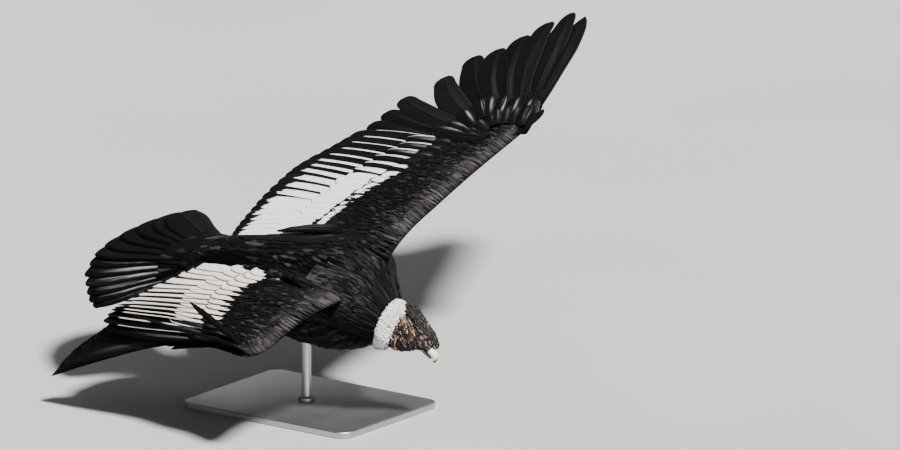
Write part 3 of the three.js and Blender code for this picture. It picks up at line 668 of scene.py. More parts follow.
down_finish, shader, place = new_finish("white_down")
tone, low = place.value_of("tone"), place.value_of("low")
fluff = place.noise(300, 4, 0.7)
clean = tone.blend((0.96, 0.957, 0.95), (0.985, 0.983, 0.98))
# Painted shade: the down is painted grey towards the collar's lower end, patchy with the fluff.
painted_low_shade = (low * (0.4 + fluff)).rise(0.2, 0.9)
place.feed(
    shader,
    {
        "Base Color": painted_low_shade.blend(clean, (0.50, 0.47, 0.44)),
        "Roughness": 0.95,
        "Normal": place.bump(fluff, 0.001, 0.2),
        "Specular IOR Level": 0.3,
        "Sheen Weight": 0.1,
    },
)
numbers = {"tone": per_feather(draw.uniform(0, 1, row.size)), "low": per_feather(low_end)}
make_piece("ruff_down", shells, down_finish, ("ruff",), (maps, bake), numbers)
numbers = {"tone": 0.2, "low": 0.15}
make_piece("ruff_collar", collar, down_finish, ("ruff",), (), numbers)

# COMB. The male's fleshy crest, a solid ridge from the back of the crown to the middle of the
# bill, dark grey brown. Fine grooves run along it, and its lower front is warty and tan.
COMB = [
    [-43, 37, 2, 4],
    [-40, 38, 5, 9],
    [-30, 40.5, 8.5, 15],
    [-12, 41.5, 11, 18],
    [8, 40, 12, 17.5],
    [25, 38.5, 12.5, 16.5],
    [42, 37.5, 12, 16],
    [58, 35.5, 11, 15],
    [76, 33.5, 9, 12],
    [88, 31, 5, 7.5],
    [91, 30.5, 1.5, 2.5],
]
place_h = 24 + 67 * np.sin(np.linspace(-0.5, 0.5, 190) * np.pi)
row = through(COMB, place_h)
comb = rings(at_head(place_h, 0, row[:, 0]), row[:, 1], row[:, 2], HEAD_S, HEAD_D, 200)
normal = outward(comb)
h, d = along_head(comb)
lower = ramp((row[:, 0][:, None] - d) / row[:, 2][:, None], -0.1, 1)
across = 1.5 * waves(comb, 24, 31) + 1.1 * waves(comb, 9, 32)
groove = np.sin(2 * np.pi * (d + 0.18 * h) / 6.0 + across)
groove = np.sign(groove) * np.abs(groove) ** 0.7 * np.clip(0.75 + 0.5 * waves(comb, 22, 36), 0.15, 1.3)
wart = np.clip(waves(comb, 7.5, 33), 0, 2) * ramp(h, 18, 30) * lower
swell = 1.3 * waves(comb, 30, 34)
ends = ramp(np.minimum(place_h + 43, 91 - place_h), 0, 10)[:, None]
height = 1.5 * groove * (1 - 0.6 * lower * (h > 30)) + 1.8 * wart + swell * 0.7
height = (height + 0.4 * waves(comb, 3.6, 35)) * ends
comb = comb + normal * (height - 0.4)[..., None]
front = ramp(h, -10, 40) * np.clip(lower + 0.25, 0, 1)
# Groove crests are painted lighter and groove bottoms darker: partly the comb's own colour, partly a
# painted highlight on the ridges and painted shade in the grooves. The warts' tan is the comb's own
# colour.
crests = (0.15 + 0.85 * groove + 0.3 * waves(comb, 12, 37)) * (0.45 + 0.6 * front) + 0.8 * wart
numbers = {"pale": np.clip(crests, 0, 1), "warm": front}

comb_finish, shader, place = new_finish("comb_skin")
speck = place.noise(380, 4, 0.65)
# Lighter on the groove crests, partly a painted highlight, and darker between them, partly painted
# shade.
raised = (place.value_of("pale") * (0.5 + speck)).rise(0.2, 0.95)
ground = place.noise(70, 2).blend((0.0022, 0.0016, 0.0015), (0.010, 0.008, 0.0075))
crest_color = place.value_of("warm").rise(0.3, 1.0).blend((0.11, 0.094, 0.085), (0.42, 0.31, 0.24))
place.feed(
    shader,
    {
        "Base Color": raised.blend(ground, crest_color),
        "Roughness": 0.5 + 0.2 * speck,
        "Specular IOR Level": 0.3,
        "Normal": place.bump(speck, 0.0007, 0.7),
    },
)
make_piece("comb_flesh", comb, comb_finish, ("comb",), (), numbers)

# BILL. Upper and lower jaw of horn: dark grey at the root, ivory from its middle, darker along
# the cutting edge of the upper jaw and over the lower jaw, with painted shade darkening the hook.
# A long nostril opens in each side near the root.
UPPER = [
    [64, 11, 11.8, 9.8],
    [66.4, 12, 12, 9.5],
    [80, 13, 11, 9],
    [94, 13, 9.5, 9],
    [104, 10, 6.5, 8],
    [109, 5, 3.6, 5.6],
    [111, 2.5, 1.4, 2.6],
]
LOWER = [
    [64, -2, 9.8, 4.2],
    [66.4, -2, 10, 4.2],
    [80, -1.2, 8.5, 3.8],
    [92, -0.6, 6, 3],
    [97, -0.2, 3.6, 1.8],
    [98.4, 0, 1.4, 0.8],
]


def jaw(rows, count, shift):
    """Oval rings along one jaw, with their points' h and d."""
    place_h = np.linspace(rows[0][0], rows[-1][0], count)
    row = through(rows, place_h)
    middle = at_head(place_h, 0, row[:, 0] + shift)
    made = rings(middle, row[:, 1], row[:, 2], HEAD_S, HEAD_D, 80)
    return made, *along_head(made)


bill_finish, shader, place = new_finish("bill_horn")
horn, edge = place.value_of("horn"), place.value_of("edge")
layers = place.noise(90, 4, 0.7)
growth = place.stretched(1, 1, 3).noise(240, 2)
ivory = layers.rise(0.3, 0.75).blend((0.66, 0.58, 0.48), (0.90, 0.86, 0.79))
shown = (horn + 0.3 * (layers - 0.5)).rise(0.25, 0.75)
body_color = shown.blend((0.014, 0.012, 0.012), ivory)
# edge paints the upper jaw's lower edge and the lower jaw darker, and the hook dark as painted shade.
place.feed(
    shader,
    {
        "Base Color": edge.rise(0.2, 0.8).blend(body_color, (0.030, 0.024, 0.022)),
        "Roughness": 0.4 + 0.25 * layers,
        "Normal": place.bump(growth, 0.0004, 0.5),
        "Specular IOR Level": 0.3,
        "Coat Weight": 0.08,
        "Coat Roughness": 0.2,
    },
)
upper, h, d = jaw(UPPER, 110, 0)
nostril = np.exp(-(((h - 74) / 4.2) ** 2) - ((d - 15) / 1.7) ** 2)
brow = 0.8 * bell(h - 80, 5) * (d > 10)
upper = upper + outward(upper) * (brow - 2.6 * nostril + 0.15 * waves(upper, 6, 41))[..., None]
# Darker along the upper jaw's lower edge, and painted shade on the hook from h 105 on.
dark_edge_and_hook_shade = ramp(0.1 * (94 - h) - d, -6, 2.5) * (h < 103) + ramp(h, 105, 3)
numbers = {"horn": ramp(h, 76, 9) * (1 - nostril), "edge": dark_edge_and_hook_shade}
make_piece("bill_top", upper, bill_finish, ("bill_upper",), (), numbers)
lower, h, d = jaw(LOWER, 70, 1.6)
numbers = {"horn": np.clip((h - 84) / 8, 0, 0.7), "edge": 0.75}
make_piece("bill_bottom", lower, bill_finish, ("bill_lower",), (), numbers)

# EYES. Small dark balls set deep under the lids: a red-brown ring round a black pupil, under a
# wet clear skin.
EYE_H, EYE_D, EYE_R = 4, 3, 8
EYE_DEEP = 4.4
for side, sign in (("left", 1), ("right", -1)):
    # The head's half width, middle and half height at the eyes.
    wide, middle, high = 34 - 3 * ((EYE_H + 2) / 16), -17, 43
    out = wide * math.sqrt(1 - ((EYE_D - middle) / high) ** 2)
    centre = at_head(EYE_H, sign * (out - EYE_DEEP), EYE_D)
    turn = np.linspace(0.02, np.pi - 0.02, 33)
    look, wide = -np.cos(turn), EYE_R * np.sin(turn)
    poles = centre + EYE_R * look[:, None] * (sign * HEAD_S)
    ball = rings(poles, wide, wide, HEAD_H, sign * HEAD_D, 48)
    eye_finish, shader, place = new_finish("eye_" + side)
    to_middle = place.value_of("look")
    iris = place.noise(700, 3).blend((0.010, 0.005, 0.003), (0.035, 0.015, 0.009))
    around = to_middle.rise(0.55, 0.62).blend((0.02, 0.012, 0.01), iris)
    place.feed(
        shader,
        {
            "Base Color": to_middle.rise(0.9, 0.93).blend(around, (0.002, 0.002, 0.002)),
            "Roughness": 0.25,
            "Coat Weight": 0.25,
            "Coat Roughness": 0.03,
        },
    )
    numbers = {"look": np.broadcast_to(look[:, None], (33, 48))}
    make_piece("eyeball_" + side, ball, eye_finish, ("eye_" + side,), (), numbers)

# WINGS. The left one is stretched out, the right one is drawn in. Over the arm lie rows of small
# coverts; behind it come the secondaries, white on their outer webs with a black end, and from
# the hand ten long black primaries. Greater and median coverts lie over their roots.
QUILL = [[0, 0.5], [0.2, 0.8], [0.4, 0.98], [0.9, 1.0], [0.96, 0.86], [0.988, 0.6], [1, 0.32]]
COVERT = [[0, 0.6], [0.5, 1], [0.84, 0.86], [0.96, 0.5], [1, 0.14]]
LEFT = {
    "hand": 1,
    "leading": [
        [132, 40, -24], [128, 110, -5], [118, 200, 3], [108, 320, 5], [97, 450, 6], [90, 560, 6],
        [86, 660, 6], [79, 740, 5], [70, 790, 5], [54, 830, 6],
    ],
    "arm": [[-42, 128, 6], [-36, 220, 4], [-20, 400, 2], [16, 625, 2]],
    "edge": [
        [-396, 142, -4], [-427, 216, -10], [-452, 310, -12], [-472, 400, -12], [-484, 500, -12],
        [-483, 565, -12], [-458, 640, -10], [-438, 715, -8],
    ],
    "hand_roots": [[38, 650, 2], [48, 728, 3], [48, 800, 6]],
    "bow": [-6, -14, -22, -32, -32, -38, -38, -30, -6, 5],
    "covered": [0.5, 0.5, 0.47, 0.49, 0.48, 0.45, 0.37, 0.28, 0.2, 0.14],
    "primaries": [
        [-420, 772, -6], [-417, 834, -4], [-413, 906, 0], [-366, 1020, 4], [-350, 1132, 8],
        [-300, 1168, 12], [-268, 1236, 16], [-240, 1308, 20], [-207, 1360, 22], [-154, 1341, 22],
    ],
    "sag": 6,
    "outer_web": 0.42,
    "cover_back": [[0, 0.24], [0.3, 0.24], [0.55, 0.25], [0.85, 0.27], [1, 0.24]],
    "secondaries": 18,
    "white_webs": [
        [0, 1.0], [6, 1.0], [7, 0.8], [9, 0.62], [11, 0.36], [13, 0.2], [15, 0.13], [17, 0.07],
    ],
    "white_greater": [[0, 1.0], [11, 1.0], [13, 0.38], [15, 0.2], [18, 0.1], [19, 0.0]],
    "white_median": [[0, 1.0], [12, 1.0], [14, 0.0]],
    "median_start": [[0, 0.8], [6, 0.78], [12, 0.68]],
    "twist": [[0, 0], [28, 0]],
    "row_length": 104,
    "grey": 0.15,
    "hand_highlight": 0.04,
}
RIGHT = {
    "hand": -1,
    "leading": [
        [88, -70, -50], [120, -129, -36], [153, -190, -14], [147, -250, -6], [138, -345, -5],
        [146, -440, -5], [138, -480, -7], [104, -492, -8], [20, -434, -12], [-104, -424, -10],
    ],
    "arm": [[-50, -126, 16], [-76, -200, 10], [-20, -310, 2], [66, -420, -2]],
    "edge": [
        [-332, -88, 26], [-365, -117, 20], [-410, -165, 10], [-432, -203, 6], [-442, -234, 2],
        [-445, -270, 0], [-451, -288, -2], [-446, -330, -6],
    ],
    "hand_roots": [[62, -440, -3], [0, -425, -9], [-84, -412, -15]],
    "primaries": [
        [-428, -352, -14], [-438, -352, -24], [-450, -350, -34], [-470, -360, -46],
        [-486, -370, -58], [-510, -378, -72], [-534, -388, -86], [-552, -396, -98],
        [-574, -402, -112], [-599, -405, -130],
    ],
    "sag": 18,
    "outer_web": 0.1,
    "cover_back": [[0, 0.05], [0.15, 0.09], [0.3, 0.17], [0.45, 0.23], [0.7, 0.17], [1, 0.13]],
    "bow": [0, 0, 0, 0, 0, 0, 0, 0, 0, 0],
    "covered": [0.4, 0.4, 0.38, 0.36, 0.34, 0.32, 0.3, 0.28, 0.26, 0.24],
    "secondaries": 14,
    "white_webs": [[0, 1.0], [4, 1.0], [6, 0.66], [8, 0.44], [10, 0.26], [12, 0.12], [13, 0.05]],
    "white_greater": [[0, 1.0], [8, 1.0], [9, 0.7], [11, 0.36], [12, 0.14], [13, 0.0]],
    "white_median": [[0, 1.0], [9, 1.0], [11, 0.0]],
    "median_start": [[0, 0.4], [2, 0.1], [6, 0.16], [9, 0.45], [12, 0.6]],
    "twist": [[0, 0], [13, -0.08], [14, -0.3], [16, -0.6], [19, -0.8], [24, -0.8]],
    "row_length": 78,
    "grey": 0.8,
    "hand_highlight": 0.2,
}
GREATER_START = [[0, -0.5], [4, -0.5], [8, 0.1], [12, 0.3]]
RIB_TOP = [[0, 0], [0.05, 0.62], [0.2, 1], [0.55, 0.85], [1, 0.5]]
RIB_UNDER = [[0, 0], [0.12, -0.65], [0.5, -0.55], [1, -0.3]]


def run_along(points, part):
    """Points at parts 0 to 1 of a run of evenly counted points."""
    points = np.asarray(points, float)
    return through(np.column_stack([np.linspace(0, 1, len(points)), points]), part)


def flight_feathers(wing):
    """Roots, tips, widths, outer shares, sags and bows of secondaries and primaries in order."""
    part = np.linspace(0, 1, wing["secondaries"])
    hand_part = np.linspace(0, 1, 10)
    root = np.concatenate([run_along(wing["arm"], part), run_along(wing["hand_roots"], hand_part)])
    tip = np.concatenate([run_along(wing["edge"], part), np.array(wing["primaries"], float)])
    hand_wide = 64 + 4 * np.minimum(1, 2 * hand_part) - 6 * hand_part**4
    wide = np.r_[np.full(len(part), 62.0), hand_wide]
    share = np.r_[np.full(len(part), 0.42), 0.4 + (wing["outer_web"] - 0.4) * hand_part]
    sag = np.r_[np.full(len(part), 5.0), wing["sag"] * hand_part]
    bow = np.r_[np.zeros(len(part)), wing["bow"]]
    return root, tip, wide, share, sag, bow


def arm_surface(wing, part, chord, face, inset=0.0):
    """Points of the fleshed arm: part 0 to 1 goes from shoulder to finger, chord 0 to 1 from the
    front edge back over the feather roots, face 1 is the upper side and -1 the under side."""
    root, tip = flight_feathers(wing)[:2]
    order = np.linspace(0, 1, len(root))
    near = through(np.column_stack([order, root]), part)
    far = through(np.column_stack([order, tip]), part)
    back = near + through(wing["cover_back"], part) * (far - near)
    front = run_along(wing["leading"], part)
    thick = (21 - 14 * part**0.8) * (0.5 + 0.5 * ramp(part, 0, 0.3))
    rise = np.where(face > 0, through(RIB_TOP, chord)[:, 0], through(RIB_UNDER, chord)[:, 0])
    made = front + chord[:, None] * (back - front)
    made[:, 2] += (thick - inset) * rise - 22 * np.clip(1 - part / 0.07, 0, 1) ** 2
    return made


wing_finish, shader, place = new_finish("wing_vane")
u, v, tone = vane_wires(place)
web, end, start, grey, gloss, shaft = (
    place.value_of(name) for name in ("web", "end", "start", "grey", "gloss", "shaft")
)
barb = place.joined(u * 1.6, v * 90 - (u - 0.5).size() * 16, tone * 90).noise(1.6, 4, 0.7)
ragged = place.joined(u * 3, v * 5, tone * 50).noise(3.0, 3, 0.6)
blotch = place.noise(22, 3)
streak = place.joined(u * 9, v * 1.1, tone * 70).noise(1.3, 3, 0.6)
shaft_line = 1 - (u - shaft).size().rise(0.008, 0.02)
# The white lies across the vane from web on, and along it from start to end.
inside = (u + 0.05 * (ragged - 0.5) - web).rise(-0.012, 0.012)
before_end = 1 - (v + 0.10 * (ragged - 0.5) + 0.05 * (u - 0.6).size() - end).rise(-0.012, 0.012)
after_start = (v + 0.08 * (barb - 0.5) - start).rise(-0.02, 0.02)
white = inside * before_end * after_start
near_edge = (u.rise(0.9, 1.0) * 0.5 + barb * 0.35 + blotch * 0.4 - 0.3).rise(0.0, 1.0)
worn = (near_edge + (streak - 0.5) * 1.6).rise(0.05, 0.9)
pure = worn.blend((0.84, 0.80, 0.75), (0.60, 0.54, 0.48))
clean = (shaft_line * 0.6).blend(pure, (0.50, 0.45, 0.40))
cast = grey.blend(clean, worn.blend((0.66, 0.60, 0.54), (0.33, 0.30, 0.29)))
# Painted sheen: the black is painted a little lighter in patches all over, and a painted highlight
# of light grey lies in a band along the outer web where gloss says so.
gleam = (barb * 0.9 + blotch * 0.5 + tone * 0.4 - 0.75).rise(0.0, 1.0)
black = gleam.blend((0.0006, 0.0005, 0.0006), (0.009, 0.0076, 0.0074))
bent = u - 0.73 + 0.10 * (v - 0.5) + 0.12 * (ragged - 0.5)
band = (1 - bent.size() * 6.5).rise(0.0, 1.0) * v.rise(0.1, 0.5) * (1 - v.rise(0.6, 0.95))
shine = (streak * 2.4 - 0.85).rise(0.0, 0.8) * band * gloss
black = shine.blend(black, (0.36, 0.35, 0.345))
black = (shaft_line * 0.12).blend(black, (0.035, 0.027, 0.022))
place.feed(
    shader,
    {
        "Base Color": white.blend(black, cast),
        "Roughness": 0.36 + 0.2 * barb + 0.25 * white - 0.12 * shine,
        "Normal": place.bump(barb, 0.0010, 0.6),
        "Specular IOR Level": 0.1,
    },
)
# The light colour is the colour of the painted sheen glints.
coverts_black = black_plumage("covert_black", (0.0007, 0.0006, 0.0007), (0.066, 0.061, 0.059), 0.42)

FLIGHT_ACROSS = (-1, -0.8, -0.5, -0.22, -0.07, -0.03, 0, 0.04, 0.1, 0.45, 0.78, 1)
COVERT_ACROSS = (-1, -0.6, -0.1, 0, 0.1, 0.6, 1)


def cells(maps):
    """The map of long feathers for baking: each has a strip of its own, side by side in rows."""
    count = len(maps)
    columns = math.ceil(math.sqrt(4 * count))
    lines = math.ceil(count / columns)
    i = np.arange(count)
    corner = np.stack([(i % columns) / columns, (i // columns) / lines], -1)[:, None, None]
    return corner + (0.04 + 0.92 * maps) / np.array([columns, lines])


def wing_numbers(count, web=2.0, end=1.0, start=-1.0, share=0.45, grey=0.0, gloss=0.1):
    """The point numbers that a wing feather's pattern is painted from. Past 1, web is no white.
    gloss sets the strength of the painted highlight band along the outer web, and lowers the
    roughness there.
    """
    numbers = {"web": web, "end": end, "start": start, "shaft": 1 - share, "grey": grey}
    numbers.update(gloss=gloss, tone=draw.uniform(0, 1, count))
    return {name: per_feather(np.broadcast_to(value, count)) for name, value in numbers.items()}


def web_edge(white_share):
    """How far across a vane its white begins, for the white share of the part that shows."""
    return np.where(white_share > 0.01, 1 - 0.56 * white_share, 2.0)


def add_long(name, made, numbers, node):
    """A piece of long feathers that vanes has made."""
    shells, maps = made
    make_piece(name, shells, wing_finish, (node,), (maps, cells(maps)), numbers)


def add_arm(name, wing):
    """The arm's skin under its coverts, a loop of points round it at every station."""
    stations, chord = 70, np.sin(np.linspace(0, np.pi / 2, 15)) ** 2
    chord, face = np.r_[chord, chord[:1:-1]], np.repeat([1.0, -1.0], [15, 13])
    part = np.repeat(np.linspace(0.001, 1, stations), len(chord))
    arm = arm_surface(wing, part, np.tile(chord, stations), np.tile(face, stations), 2.5)
    arm = arm.reshape(1, stations, len(chord), 3)
    maps, node = (np.zeros_like(arm[..., :2]),), "wing_" + name
    make_piece("arm_" + name, arm, coverts_black, (node,), maps, {"tone": 0.3})


def add_flight(name, wing):
    """Flight feathers, each leaning up outwards over the next: secondaries with white webs, then
    primaries that narrow past the middle, the outermost ones to a point."""
    root, tip, wide, share, sag, bow = flight_feathers(wing)
    count, inner = len(root), wing["secondaries"]
    order = np.arange(count)
    is_inner = order < inner
    twist = through(wing["twist"], order)
    in_hand = ramp(order - inner, -1, 10)[:, None]
    run = np.linspace(0, 1, 34)[None, :]
    lean = 0.05 + twist * np.minimum(1, run / 0.45) ** 2
    notch = np.minimum(1, 3 * in_hand) * (0.12 + 0.1 * ramp(in_hand, 0.6, 0.3)) * ramp(run, 0.5, 0.25)
    taper = 1 - notch - 0.66 * ramp(in_hand, 0.85, 0.15) * ramp(run, 0.76, 0.24) ** 1.2
    wide = wide / np.sqrt(1 + twist[:, 0] ** 2)
    bow = bow + draw.uniform(-3, 3, count)
    shape = QUILL, 34, FLIGHT_ACROSS, wing["hand"], share, lean, sag, bow, 0.9, 0.06, 1.5, taper
    made = vanes(root, tip, RISE_Z, wide, *shape)
    white = through(wing["white_webs"], np.minimum(order, inner - 1))[:, 0] * is_inner
    web = web_edge(np.clip(white + draw.uniform(-0.04, 0.04, count) * (white < 0.9), 0, 1.2))
    end = np.where(is_inner, 0.945 - 0.05 * order / inner + draw.uniform(-0.015, 0.015, count), 1)
    # Painted highlight band on the primaries only, stronger on the right hand.
    gloss = np.where(is_inner, 0.0, wing["hand_highlight"])
    web = np.where(is_inner, web, 2)
    numbers = wing_numbers(count, web, end, -1, share, wing["grey"], gloss)
    add_long("flight_" + name, made, numbers, "wing_" + name)


# Tiers of large coverts: how far they reach along the secondaries and along the bare part of the
# primaries, the length of those on the hand, how high they lie, their width and where the white
# ends. The ones underneath are black.
TIERS = (
    ("greater", 0.56, 1.0, 150, 6.0, 0.86, 1.3),
    ("median", 0.34, 0.62, 124, 9.5, 0.8, 0.955),
    ("under_greater", 0.5, 0.95, 140, -5.0, 0.86, 0),
    ("under_median", 0.3, 0.55, 110, -8.0, 0.8, 0),
)


def add_tier(name, wing, tier, reach, hand_reach, hand_length, lift, size, end_at):
    """One row of large coverts, one to each flight feather, over its root."""
    root, tip, wide, share, sag, bow = flight_feathers(wing)
    count, inner, hand = len(root), wing["secondaries"], wing["hand"]
    order = np.arange(count)
    is_inner = order < inner
    flip = -1 if lift < 0 else 1
    twist = through(wing["twist"], order)[:, 0]
    wide = wide / np.sqrt(1 + twist**2)
    in_hand = ramp(order - inner, -1, 10)
    covered = np.r_[np.full(inner, reach), np.array(wing["covered"]) * hand_reach]
    far = (covered * draw.uniform(0.97, 1.03, count))[:, None]
    bend = 4 * far * (1 - far) * bow[:, None] * unit(np.cross(unit(tip - root), RISE_Z)) * hand
    stop = root + far * (tip - root) + bend + (lift + sag * far[:, 0])[:, None] * RISE_Z
    start = root + 0.02 * (tip - root) + np.array([0, 0, 0.3 * lift])
    if hand > 0:
        hand_start = stop - hand_length * unit(tip - stop) + np.array([0, 0, 3 * flip])
        start = np.where(is_inner[:, None], start, hand_start)
    narrow = size * (1 - (0.3 if flip > 0 else 0.5) * np.minimum(1, 3 * in_hand))
    share, lean = 0.45 - 0.2 * in_hand, 0.05 + 0.5 * twist
    shape = COVERT, 18, COVERT_ACROSS, hand, share, lean, 1.5 * flip, 0, 0.7, 0.12 * flip, 0.7
    made = vanes(start, stop, RISE_Z, wide * narrow, *shape)
    white_knots = wing.get("white_" + tier, [[0, 0], [1, 0]])
    shown = through(white_knots, order)[:, 0] * (order < white_knots[-1][0])
    web = np.where(shown > 0.95, 0.0, web_edge(shown * 1.15))
    starts = wing["median_start"] if tier == "median" else GREATER_START
    # Painted highlight band: faint on the inner coverts, strong on the greater coverts of the left
    # hand from the last three secondaries out, weaker on the others.
    gloss = np.where(order < inner - 3, 0.02, 0.9 if tier == "greater" and hand > 0 else 0.3)
    numbers = wing_numbers(count, web, end_at, through(starts, order)[:, 0], 0.45, wing["grey"], gloss)
    add_long(f"{tier}_{name}", made, numbers, "wing_" + name)


def add_lesser(name, wing, face_name, face_sign, rows, in_ten, proud, wide):
    """Lesser coverts: staggered rows over the arm and hand on one face, smaller towards the
    front edge and the finger tip, each tip proud of the arm."""
    in_row = wing["row_length"] * in_ten // 10
    row, step = numbered(rows, in_row)
    chord = (row + draw.uniform(-0.4, 0.4, row.size)) / rows
    part = scattered(row, step) / in_row
    part, chord = np.clip(part, 0.002, 0.998), np.clip(chord, 0.004, 0.998)
    root = arm_surface(wing, part, chord, face_sign, 1.5)
    front, back = (arm_surface(wing, part, 0 * part + end, face_sign) for end in (0, 1))
    depth = np.linalg.norm(back - front, axis=1)
    length = (50 - 16 * part) * (0.62 + 0.6 * chord) * draw.uniform(0.85, 1.18, row.size)
    far = chord + length / depth
    beside = np.clip(part + draw.normal(0, 0.003, row.size), 0, 1)
    on_arm = arm_surface(wing, beside, np.minimum(far, 1), face_sign)
    past = np.maximum(far - 1, 0)[:, None] * ((back - front) * [1, 1, 0] - [0, 0, 10 * face_sign])
    stand = face_sign * proud * draw.uniform(0.8, 1.3, row.size)
    tip = on_arm + past + stand[:, None] * RISE_Z
    wide = wide * (0.75 + 0.35 * chord) * (1 - 0.3 * part)
    up = face_sign * RISE_Z
    made = vanes(root, tip, up, wide, CONTOUR, 5, SMALL_ACROSS, sag=0.8, thick=0.35, camber=0.12)
    v = 0.5 * chord + (0.5 if face_sign < 0 else 0)
    # Painted sheen: feathers towards the front edge, past the shoulder end, get a lighter tone and so
    # more painted glints.
    painted_front_sheen = 0.62 * np.clip(part / 0.16, 0.15, 1) * (1 - chord) ** 3
    tone = np.clip(0.55 * draw.uniform(0, 1, row.size) ** 4 + painted_front_sheen, 0, 1)
    piece, nodes = f"lesser_{face_name}_{name}", ("wing_" + name,)
    add_coat(piece, made, part, v, tone, coverts_black, nodes)


for name, wing in (("left", LEFT), ("right", RIGHT)):
    add_arm(name, wing)
    add_flight(name, wing)
    for tier in TIERS:
        add_tier(name, wing, *tier)
    add_lesser(name, wing, "over", 1, 24, 10, 3.2, 11.5)
    add_lesser(name, wing, "under", -1, 11, 6, 1.6, 21)

# ALULAE. Three stiff feathers on each thumb: the left one's lie along the front edge, the
# right one's stand up over the folded hand. A row is a root, a tip and a width.
ALULAE = {
    "left": [
        [84, 700, 10, 66, 838, 13, 30], [74, 690, 12, 46, 826, 15, 34],
        [64, 684, 14, 22, 806, 18, 36],
    ],
    "right": [
        [62, -462, 4, -152, -357, 60, 17], [58, -462, -2, -109, -436, 20, 13],
        [-40, -424, -8, -346, -359, 22, 9],
    ],
}
THUMB = [[0, 0.4], [0.35, 0.8], [0.66, 1], [0.85, 0.74], [1, 0.08]]
for name, hand, lean in (("left", 1, 0.02), ("right", -1, -0.2)):
    rows = np.array(ALULAE[name], float)
    shape = THUMB, 24, FLIGHT_ACROSS, hand, 0.5, lean, 0, 0, 1, 0.1, 1
    made = vanes(rows[:, :3], rows[:, 3:6], RISE_Z, rows[:, 6], *shape)
    add_long("alula_" + name, made, wing_numbers(3, share=0.5, gloss=0), "wing_" + name)

# MANTLE AND SHOULDERS. One cloak of long narrow black feathers lies over the back and the inner
# ends of both wings and streams towards the tail. In front it closes round the shoulders and
# the base of the neck as shorter, hair-like feathers, so that no wing edge shows there.
BACK_TOP = [
    [-420, 8], [-405, 14], [-350, 28], [-280, 34], [-190, 32], [-90, 28], [10, 24], [80, 10],
    [122, -16],
]
LEFT_TOP = [[-420, -4], [-330, 2], [-110, 11], [-40, 15], [7, 17], [80, 16], [122, 0]]
RIGHT_TOP = [[-420, 6], [-330, 12], [-110, 22], [-40, 17], [7, 5], [75, -19], [122, -40]]
MANTLE_HALF = [[-420, 70], [-330, 96], [-200, 112], [-60, 126], [0, 136], [60, 154], [122, 156]]


def mantle_top(x, y):
    """Height of the cloak: the back's top in the middle and the wings' top beside it, with a
    smooth rise between them from 30 to 105 mm out."""
    ease = np.clip((np.abs(y) - 30) / 75, 0, 1)
    ease = ease * ease * (3 - 2 * ease)
    back = through(BACK_TOP, x)[:, 0]
    wing = np.where(y > 0, through(LEFT_TOP, x)[:, 0], through(RIGHT_TOP, x)[:, 0])
    return back + ease * (wing - back)


CLOAK_FRONT = 118
row, step = numbered(30, 34)
x = CLOAK_FRONT - 13.5 * (row + draw.uniform(-0.5, 0.5, row.size))
fan = 2 * scattered(row, step) / 34 - 1
y = fan * through(MANTLE_HALF, x)[:, 0]
length = (44 + 0.2 * (CLOAK_FRONT - x)) * draw.uniform(0.85, 1.2, row.size)
end_x = np.maximum(x - length, -440)
end_y = fan * through(MANTLE_HALF, end_x)[:, 0] + draw.normal(0, 2.5, row.size)
end_z = mantle_top(end_x, end_y) + 6.5 + draw.uniform(-1.5, 1.5, row.size)
root = np.stack([x, y, mantle_top(x, y) + 3], -1)
tip = np.stack([end_x, end_y, end_z], -1)
wide = 13 + 0.03 * (CLOAK_FRONT - x)
made = vanes(root, tip, RISE_Z, wide, CONTOUR, 9, SMALL_ACROSS, sag=1, thick=0.5, camber=0.12)
u, v = (CLOAK_FRONT - x) / 420, (fan + 1.05) / 2.1
# Painted sheen: towards the front of the cloak the feathers get a lighter tone, so more of them are
# painted with glints.
tone = 0.7 * draw.uniform(0, 1, row.size) ** 7 + 0.35 * ramp(x, -10, 130) ** 2
nodes = ("wing_left", "wing_right", "torso")
add_coat("mantle", made, u, v, tone, coverts_black, nodes)

# Three long scapulars lie over the white of the left wing beside the cloak.
root = np.array([[-40, 120, 21], [-48, 130, 21], [-58, 138, 21]], float)
tip = np.array([[-238, 116, 21], [-222, 128, 21], [-196, 136, 21]], float)
shape = COVERT, 16, COVERT_ACROSS, 1, 0.45, 0.03, 2, [6, 8, 9], 0.7, 0.12, 0.6
made = vanes(root, tip, RISE_Z, [26, 24, 22], *shape)
# They carry a weak painted highlight band.
add_long("scapulars", made, wing_numbers(3, gloss=0.25), "wing_left")

# Stations of the shoulders as [part, x, y, z, half width, half height], from wings to ruff.
SHOULDERS = [
    [0, 10, 0, -44, 168, 66],
    [0.3, 70, -8, -58, 152, 66],
    [0.55, 112, -25, -80, 115, 68],
    [0.8, 146, -41, -108, 75, 62],
    [1, 172, -48, -137, 48, 54],
]


def on_shoulders(part, angle, proud=0.0):
    """Points of the shoulders' oval stations, which turn from upright to the ruff's slant."""
    by = part[:, None]
    side, rise = unit((1 - by) * SIDE_Y + by * RUFF_SIDE), unit((1 - by) * RISE_Z + by * RUFF_RISE)
    return on_ovals(through(SHOULDERS, part), side, rise, angle, proud)


